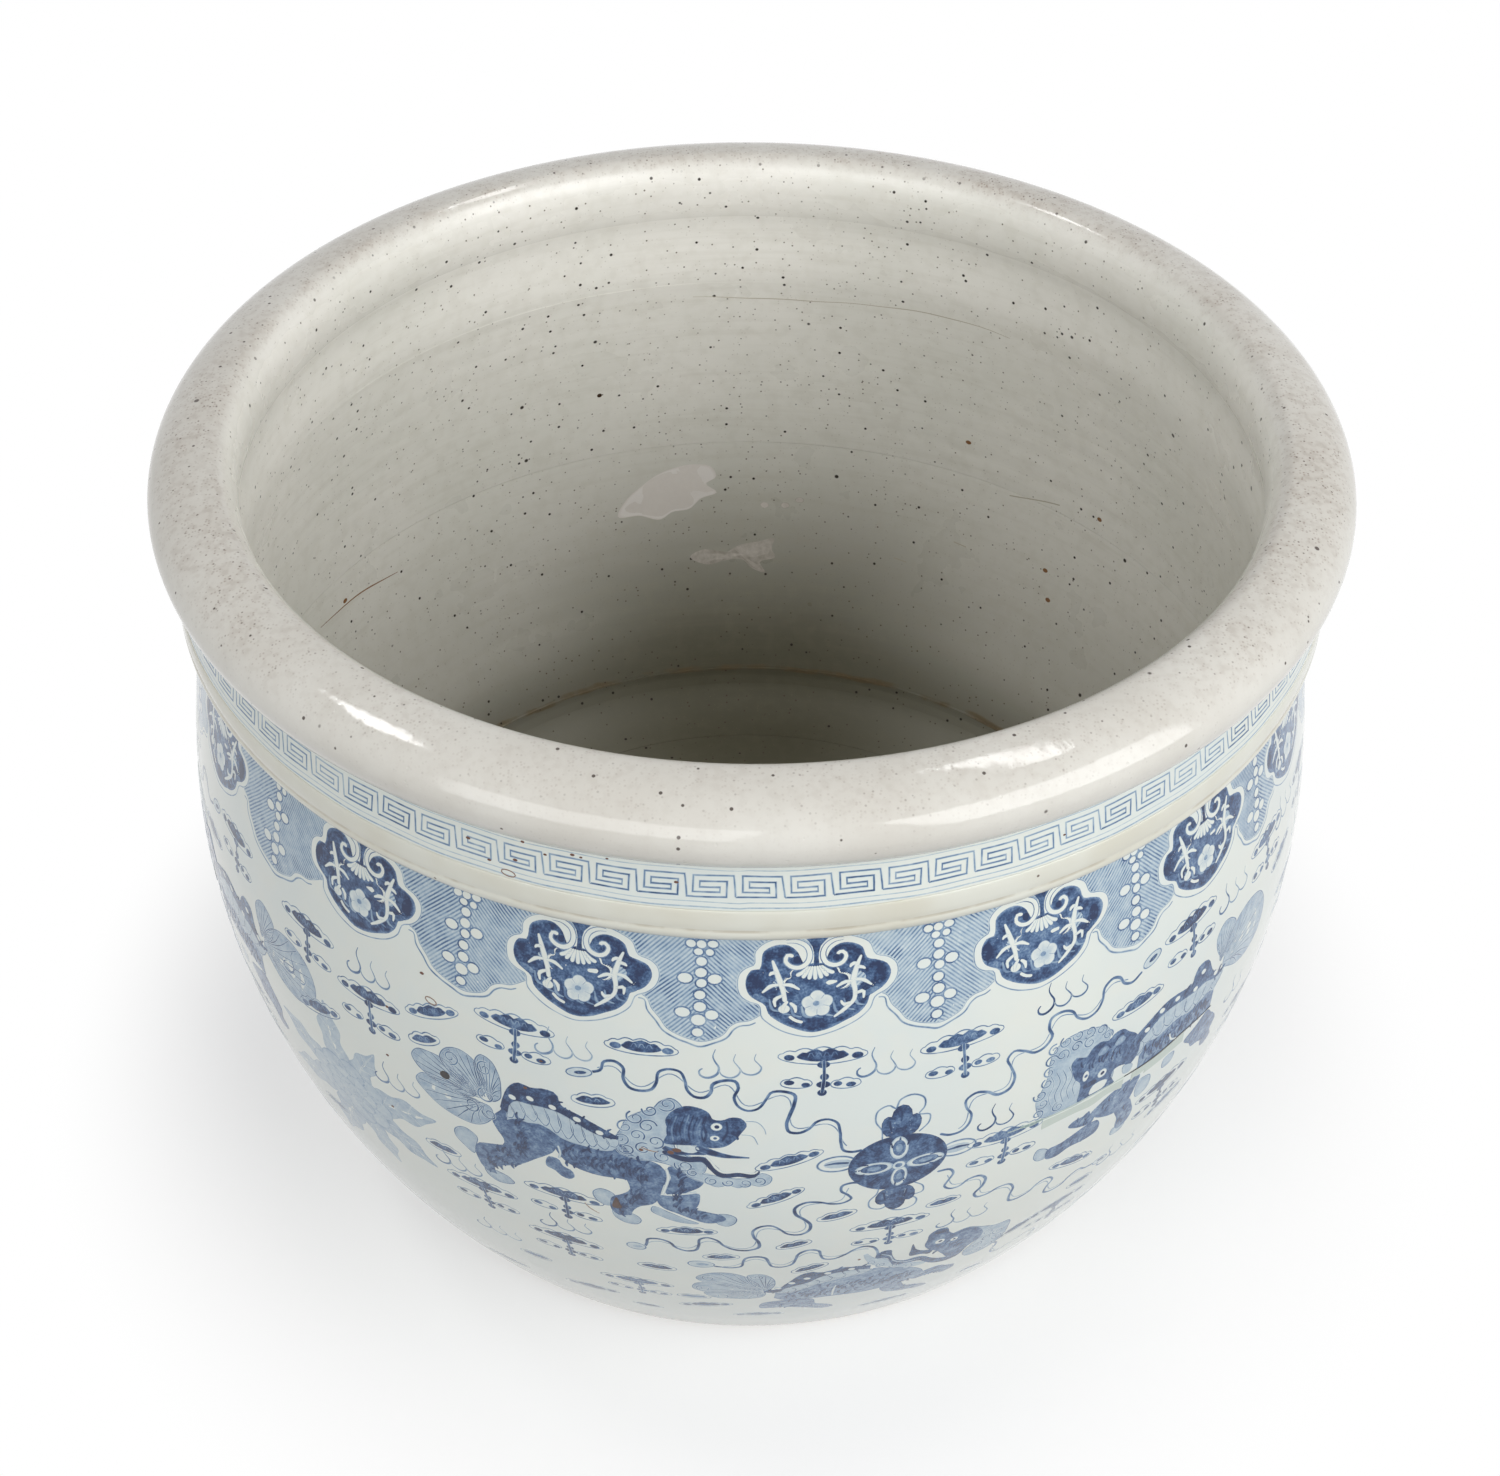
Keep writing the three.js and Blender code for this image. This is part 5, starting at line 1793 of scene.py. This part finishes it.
def lower_lion(sheet, tone):
    """The whole lion below the ball, from the furthest part to the nearest."""
    plume(sheet, LOW_PLUME, (12, 111), 12)
    curls(sheet, [(-20, 131), (-24, 114), (6, 134), (-14, 101)], 3.4, 0.66, 3)
    legs(sheet, LOW_LEGS, [0.5 * tone, 0.62 * tone], 0.5, 60, 14, 0.82 * tone)
    sheet.span(LOW_TORSO_TOP, LOW_TORSO_LOW, 0.52 * tone, 4, fade=0.56, across=10)
    fur(sheet, [(24, 99), (50, 105), (78, 108), (98, 102)], 11, 78, 6, 76, 0.84 * tone, 6)
    sheet.stroke([(51, 112), (50, 104), (50, 93)], [0.8, 1.5, 1.0], 0.0, 7, fade=0.2)
    spots = [(18, 116), (25, 123.5), (33, 129), (44, 134), (57, 136)]
    spotted_crest(sheet, LOW_CREST_TOP, LOW_CREST_LOW, LOW_BAND, 8, spots, 0.94 * tone)
    sheet.span(LOW_BEARD_OUT, LOW_BEARD_IN, 0.22, 5, fade=0.44)
    curls(sheet, [(68, 141), (74, 135), (82, 129), (91, 123)], 2.4, 0.6, 7)
    pale_lobe(sheet, LOW_MANE, 5, (136, 134))
    mane_curls = [(137, 137), (144, 132), (146, 123), (142, 114), (135, 112), (133, 122), (138, 128)]
    curls(sheet, mane_curls, 3.2, 0.64, 7)
    sheet.span(LOW_JAW_TOP, LOW_JAW_LOW, 0.8 * tone, 7, fade=0.6, spacing=2.0)
    gap_of_jaw = [(72, 150), (77, 146), (81, 137), (88, 131), (97, 130)]
    sheet.stroke(gap_of_jaw, [0.8, 1.2, 0.8], 0.1, 9, fade=0.4)
    sheet.patch(LOW_SPIKE, 0.78 * tone, 7, fade=0.6, centre=(93.5, 141))
    sheet.patch(LOW_SKULL, [0.58 * tone, 0.68 * tone, 0.8 * tone], 8, fade=0.64, centre=(113, 140))
    sheet.dab(103.6, 161.4, 3.8, 3, 0.95, 9, fade=0.8)
    eye(sheet, 105, 148.4, 3.0, 2.8)
    eye(sheet, 113.6, 146, 2.4, 2.2, 0.9)
    fur(sheet, [(104, 140), (116, 138), (124, 126)], 7, 60, 5.4, 24, 0.94 * tone, 9, 1.5)


# %% Painting the lions
def lions_of(name, start):
    """Three lions: one looks right, one looks left, one below looks back."""
    lions = Painting(on_body, seed=61)
    lions.at(start, 0)
    right_facing_body(lions, 1.0)
    right_facing_head(lions, 1.05)
    left_facing_lion(lions, 0.94)
    lower_lion(lions, 0.92)
    lions.dry(name, cobalt)


for side_name, start_x in SCENE_PLACES.items():
    lions_of("lions_" + side_name, start_x)

# %% [markdown]
# ## Peonies
#
# Between the scenes stand pale peonies, washed in with a wide brush and little ink.

# %% Peonies
LEAF = [
    (0, 0), (5, 7), (12, 10), (20, 8), (28, 9), (36, 3), (44, 0), (36, -4), (28, -8), (20, -6), (12, -9),
    (5, -6),
]
LEAVES = ((100, 1.1), (62, 0.9), (18, 1.15), (-28, 1.05), (-70, 1.0), (-112, 1.2), (-158, 1.1), (158, 1.0))


def peony(sheet):
    """Petals in two rings, and pointed leaves all round."""
    for turn, size in LEAVES:
        lean = size * spin(turn)
        root = 14 * spin(turn)[0]
        leaf = np.array(LEAF) @ lean + root
        sheet.patch(leaf, [0.22, 0.26], 0, fade=0.3, centre=leaf.mean(axis=0))
        sheet.stroke(np.array([(0, 0), (20, 1), (42, 0)]) @ lean + root, [0.6, 0.9, 0.5], 0.36, 1)
        for side in (-1, 1):
            for far in (10, 18, 26):
                vein = np.array([(far, 0), (far + 4, side * 4), (far + 6, side * 6.4)])
                sheet.stroke(vein @ lean + root, 0.6, 0.32, 1)
    for ring, (count, reach, size) in enumerate(((9, 20, 10), (7, 11, 8), (4, 4, 6))):
        for k in range(count):
            angle = k * 2 * math.pi / count + ring
            x, y = reach * math.cos(angle), reach * 0.85 * math.sin(angle)
            sheet.dab(x, y, size, size * 0.85, [0.18, 0.22], 2 + ring, fade=0.36, points=16)
            sheet.stroke([(x * 0.6, y * 0.6), (x, y)], 0.6, 0.36, 3 + ring)


in_each_scene("peonies", 71, peony, -222, 208)

# %% [markdown]
# ## Marks of making and wear
#
# A few spots of iron burned through the glaze on the body and the neck, and a crack runs under
# the rim. The seam of the body opened a little and was touched up, and inside the glaze flaked
# off in two places. They are films as well, in their own colours.

# %% Marks on the body
SEAM_Y = 240.6
IRON_SPOTS = [(-107, 281, 1.0), (-50, 255, 1.1), (-36, 256, 1.6), (60, 148, 0.8), (-190, 220, 0.9)]
RUST_SPOTS = [(-164, 328, 1.2), (-185, 295.5, 1.0), (-99, 301, 0.9), (-33, 258, 2.2), (-187, 262, 0.9)]
BURNT_SPOT = [(-66, 203), (-65.6, 209), (-64, 213), (-62.4, 208), (-62, 203.4)]
CRACK = [(200, SEAM_Y), (222, SEAM_Y - 0.6), (246, SEAM_Y + 0.4), (270, SEAM_Y - 0.2)]
SCRATCHES = [[(-81, 201), (-78.5, 197), (-74, 193.5)], [(-50, 257), (-46.5, 255.5), (-42, 255)]]


def make_marks(name, pale, middle, dark):
    """Colour of a mark by its ink, from pale to dark, with a fine mottle."""
    board = new_board(name)
    tone = board.attribute("ink") * (0.8 + 0.4 * board.noise(3, 4.0))
    colour = board.coats(tint(*pale), (tone.between(0.0, 0.5), middle), (tone.between(0.5, 1.0), dark))
    return board.glaze(colour, 0.12 + 0.1 * board.noise(6), body_relief(board))


def dots(sheet, places, flat, ink, level, fade):
    """Small dabs, each with a half width of its own."""
    for x, y, reach in places:
        sheet.dab(x, y, reach, reach * flat, ink, level, fade=fade)


iron = Painting(on_body, seed=81)
iron.patch(BURNT_SPOT, [0.7, 0.86], 14, fade=0.55)
iron.dab(-151, 269, 2.8, 2.6, 1.0, 14, fade=0.9)
dots(iron, IRON_SPOTS, 0.8, 0.55, 14, 0.3)
iron.stroke(CRACK, [0.5, 1.3, 1.0, 0.5], 1.1, 14, fade=1.1, spacing=3)
dots(iron, RUST_SPOTS, 0.6, 0.6, 14, 0.5)
ring_line(iron, -158, 314, 3.4, 1.7, 0.62, 14, 0.7, turn=-12)
for scratch in SCRATCHES:
    iron.stroke(scratch, [0.5, 0.9, 0.4], 0.55, 14, spacing=2)
rust = make_marks("iron_marks", (190, 182, 172), (104, 68, 54), (30, 28, 30))
iron.dry("iron_marks", rust)

# %% Marks on the neck, given by their heights above the table
NECK_SPOTS = [
    (-121, 404, 1.0), (-108, 407.5, 1.2), (-93, 414.5, 0.9), (-80, 417.6, 1.1), (-76, 417, 0.8),
    (-104, 418, 1.0), (-64, 418.4, 0.7), (-32.5, 411, 1.1), (-132, 412, 1.2), (150, 409, 0.8),
]
UNDER_RIM = [(38, 423), (48, 423.2), (58, 423), (70, 423.2), (84, 423)]

neck_iron = Painting(on_neck, seed=83)
dots(neck_iron, np.array(NECK_SPOTS) - [0, RIB_TOP, 0], 0.6, 0.6, 4, 0.5)
ring_line(neck_iron, -111.4, 399.8 - RIB_TOP, 3.6, 1.5, 0.62, 4, 0.7, turn=-8)
under_rim = np.array(UNDER_RIM) - [0, RIB_TOP]
neck_iron.stroke(under_rim, [0.4, 1.1, 0.8, 1.2, 0.4], 0.92, 4, fade=0.92)
neck_iron.dry("neck_marks", rust)

# %% The seam touched up
GREENISH = [(130, SEAM_Y + 0.4), (150, SEAM_Y), (176, SEAM_Y + 0.6), (200, SEAM_Y)]

retouch = Painting(on_body, seed=82)
for low, high, left, right in ((234, 239.6, 206, 216), (231, 239.8, 216, 246), (233, 239.4, 150, 200)):
    edge_x = np.linspace(left, right, 6)
    top = np.column_stack([edge_x, high + 0.4 * np.sin(edge_x)])
    bottom = np.column_stack([edge_x, low + 1.2 * np.sin(edge_x)])
    retouch.span(top, bottom, 0.32, 11, fade=0.0)
retouch.stroke(GREENISH, [0.5, 1.0, 0.8, 0.6], 0.62, 13, fade=0.2, spacing=3)
retouch.stroke([(137, 241.4), (143, 240.4), (150, 241)], [1.6, 2.6, 1.2], 0.8, 13, fade=0.3)
green = make_marks("retouch", (204, 211, 204), (176, 190, 182), (76, 116, 124))
retouch.dry("seam_retouch", green)

# %% Flakes, stains and scratches inside
FLAKES = [
    [(-869, 189), (-876, 200), (-887, 208.5), (-898, 215.5), (-910, 219.5), (-927, 222), (-939, 219),
     (-942, 211), (-934.5, 206), (-942, 199), (-930, 194.5), (-922.5, 188), (-909, 186.5), (-901.5, 182),
     (-885.5, 186.5)],
    [(-921, 152), (-930.5, 156.5), (-947, 153), (-959, 158.5), (-972.5, 161.5), (-985, 163.5), (-983, 156.5),
     (-986, 151), (-974, 146), (-978, 139), (-968, 141.5), (-962, 147.5), (-947, 147.5), (-933, 145.5)],
]
HAIRLINE = [(-611, 217), (-639.5, 216), (-660.5, 215), (-692, 211)]
INNER_SCRATCHES = [[(777.5, 234.5), (737.5, 244)], [(806, 184), (816, 184.6)], [(850, 160), (860, 161)]]

bare = Painting(on_inside, seed=91)
for flake, worn in zip(FLAKES, (0.0, 0.5)):
    inks = [0.1 + worn, 0.25 + worn, 0.15 + worn]
    bare.patch(flake, inks, 1, fade=0.4 + worn / 2, centre=np.mean(flake, axis=0), spacing=3)
for x, y in ((943, 189.5), (958, 189), (932.5, 194)):
    bare.dab(x, y, 3.2, 2.2, 0.6, 1, fade=0.8)
bare_clay = make_marks("bare_clay", (243, 239, 236), (226, 220, 214), (150, 143, 130))
bare.dry("inner_flakes", bare_clay)

stains = Painting(on_inside, seed=92)
stains.stroke(HAIRLINE, [0.4, 0.8, 1.0, 0.4], [0.4, 0.6, 0.4], 1, fade=0.3, spacing=5)
for x, y in ((741.5, 191.5), (734, 172), (812, 264.5), (703, 250), (-640, 219)):
    stains.dab(x, y, 2.2, 1.6, 0.5, 1, fade=0.15)
stains.dab(-859.5, 288, 1.8, 1.6, 1.0, 1, fade=0.9)
for scratch in INNER_SCRATCHES:
    stains.stroke(scratch, 0.8, 0.12, 1, spacing=6)
throwing = np.linspace(779, 1010, 12)
throwing_line = np.column_stack([throwing, 359.5 + 2.5 * np.sin(throwing / 40)])
stains.stroke(throwing_line, [0.3, 0.7, 0.4, 0.7, 0.3], 0.1, 1, fade=0.1, spacing=8)
inner_rust = make_marks("inner_rust", (196, 190, 174), (138, 98, 66), (46, 34, 28))
stains.dry("inner_stains", inner_rust)

# %% [markdown]
# ## Camera, floor and light
#
# The bowl was photographed from well above, turned neither left nor right. The camera stands
# where the fitted outlines put it. Two soft boxes high at the sides, a little behind, give the
# long highlights on the rim. Two large ones in front stand for the walls of the studio, and a
# pale room does the rest.

# %% Camera
CAMERA_PLACE = (0.0, -0.98488, 1.10974)
CAMERA_DOWN = 0.72778
CAMERA_ROLL = 0.00716
camera_data = bpy.data.cameras.new("camera")
camera_data.sensor_width = 36
camera_data.lens = 55.2
camera = bpy.data.objects.new("camera", camera_data)
tilt = Matrix.Rotation(math.pi / 2 - CAMERA_DOWN, 4, "X") @ Matrix.Rotation(CAMERA_ROLL, 4, "Z")
camera.matrix_world = Matrix.Translation(CAMERA_PLACE) @ tilt
bpy.context.scene.collection.objects.link(camera)
bpy.context.scene.camera = camera

# %% Soft boxes
def soft_box(name, azimuth, elevation, distance, size, power):
    """Area lamp that looks at the rim from an azimuth and elevation in degrees."""
    lamp = bpy.data.lights.new(name, "AREA")
    lamp.shape = "RECTANGLE"
    lamp.size, lamp.size_y = size
    lamp.energy = power
    holder = bpy.data.objects.new(name, lamp)
    turn = math.radians(azimuth)
    rise_angle = math.radians(elevation)
    out = np.array([
        math.sin(turn) * math.cos(rise_angle),
        -math.cos(turn) * math.cos(rise_angle),
        math.sin(rise_angle),
    ])
    look = Matrix.Rotation(turn, 4, "Z") @ Matrix.Rotation(math.pi / 2 - rise_angle, 4, "X")
    holder.matrix_world = Matrix.Translation(out * distance + [0, 0, 0.4]) @ look
    bpy.context.scene.collection.objects.link(holder)


soft_box("left_soft_box", -102, 56, 2.2, (0.42, 0.3), 4.6)
soft_box("right_soft_box", 124, 66, 2.2, (0.9, 0.2), 4.6)
soft_box("right_wall", 52, 28, 2.4, (2.0, 1.5), 37)
soft_box("front_wall", -26, 28, 2.4, (2.0, 1.3), 20)

# %% Pale room and floor
WHITE = (1, 1, 1, 1)


def seen(board):
    """1 for rays that the camera sees, straight or in a gloss, and 0 for the light itself."""
    rays = board.tree.nodes.new("ShaderNodeLightPath").outputs
    settings = {"operation": "MAXIMUM"}
    return board.node("ShaderNodeMath", settings, rays["Is Camera Ray"], rays["Is Glossy Ray"])


def pale_room(low, high, front):
    """World light, brighter low down and in front; plain white to the camera and in gloss."""
    board = Board(bpy.data.worlds.new("pale_room"), "Generated", 1)
    overhead = board.height().between(0.0, 0.85)
    strength = (low + overhead * (high - low)) * (1 - board.along(1) * front)
    light = board.node("ShaderNodeBackground", {}, WHITE, strength)
    white = board.node("ShaderNodeBackground", {}, WHITE, 1.0)
    mix = board.node("ShaderNodeMixShader", {}, seen(board), light, white)
    bpy.context.scene.world = board.end("ShaderNodeOutputWorld", "Surface", mix)


FLOOR_GREY, FLOOR_WHITE = (0.36, 0.36, 0.36, 1), (0.95, 0.95, 0.95, 1)


def white_floor(glow):
    """Floor that adds a share of plain white to what the camera sees, all of it away from the bowl."""
    half = 12.0
    corners = [(x * half, y * half, 0) for x, y in ((-1, -1), (1, -1), (1, 1), (-1, 1))]
    mesh = bpy.data.meshes.new("floor")
    mesh.from_pydata(corners, [], [(0, 1, 2, 3)])
    floor = bpy.data.objects.new("floor", mesh)
    bpy.context.scene.collection.objects.link(floor)
    board = new_board("white_floor")
    in_sight = seen(board)
    matte = board.node("ShaderNodeBsdfDiffuse", {}, board.blend(in_sight, FLOOR_GREY, FLOOR_WHITE))
    white = board.node("ShaderNodeEmission", {}, WHITE, 1.0)
    glow = glow + (1 - glow) * board.reach().between(290, 440)
    mix = board.node("ShaderNodeMixShader", {}, in_sight * glow, matte, white)
    floor.data.materials.append(board.end("ShaderNodeOutputMaterial", "Surface", mix))


pale_room(0.5, 0.28, 0.2)
white_floor(0.42)
bpy.context.scene.view_settings.view_transform = "Standard"
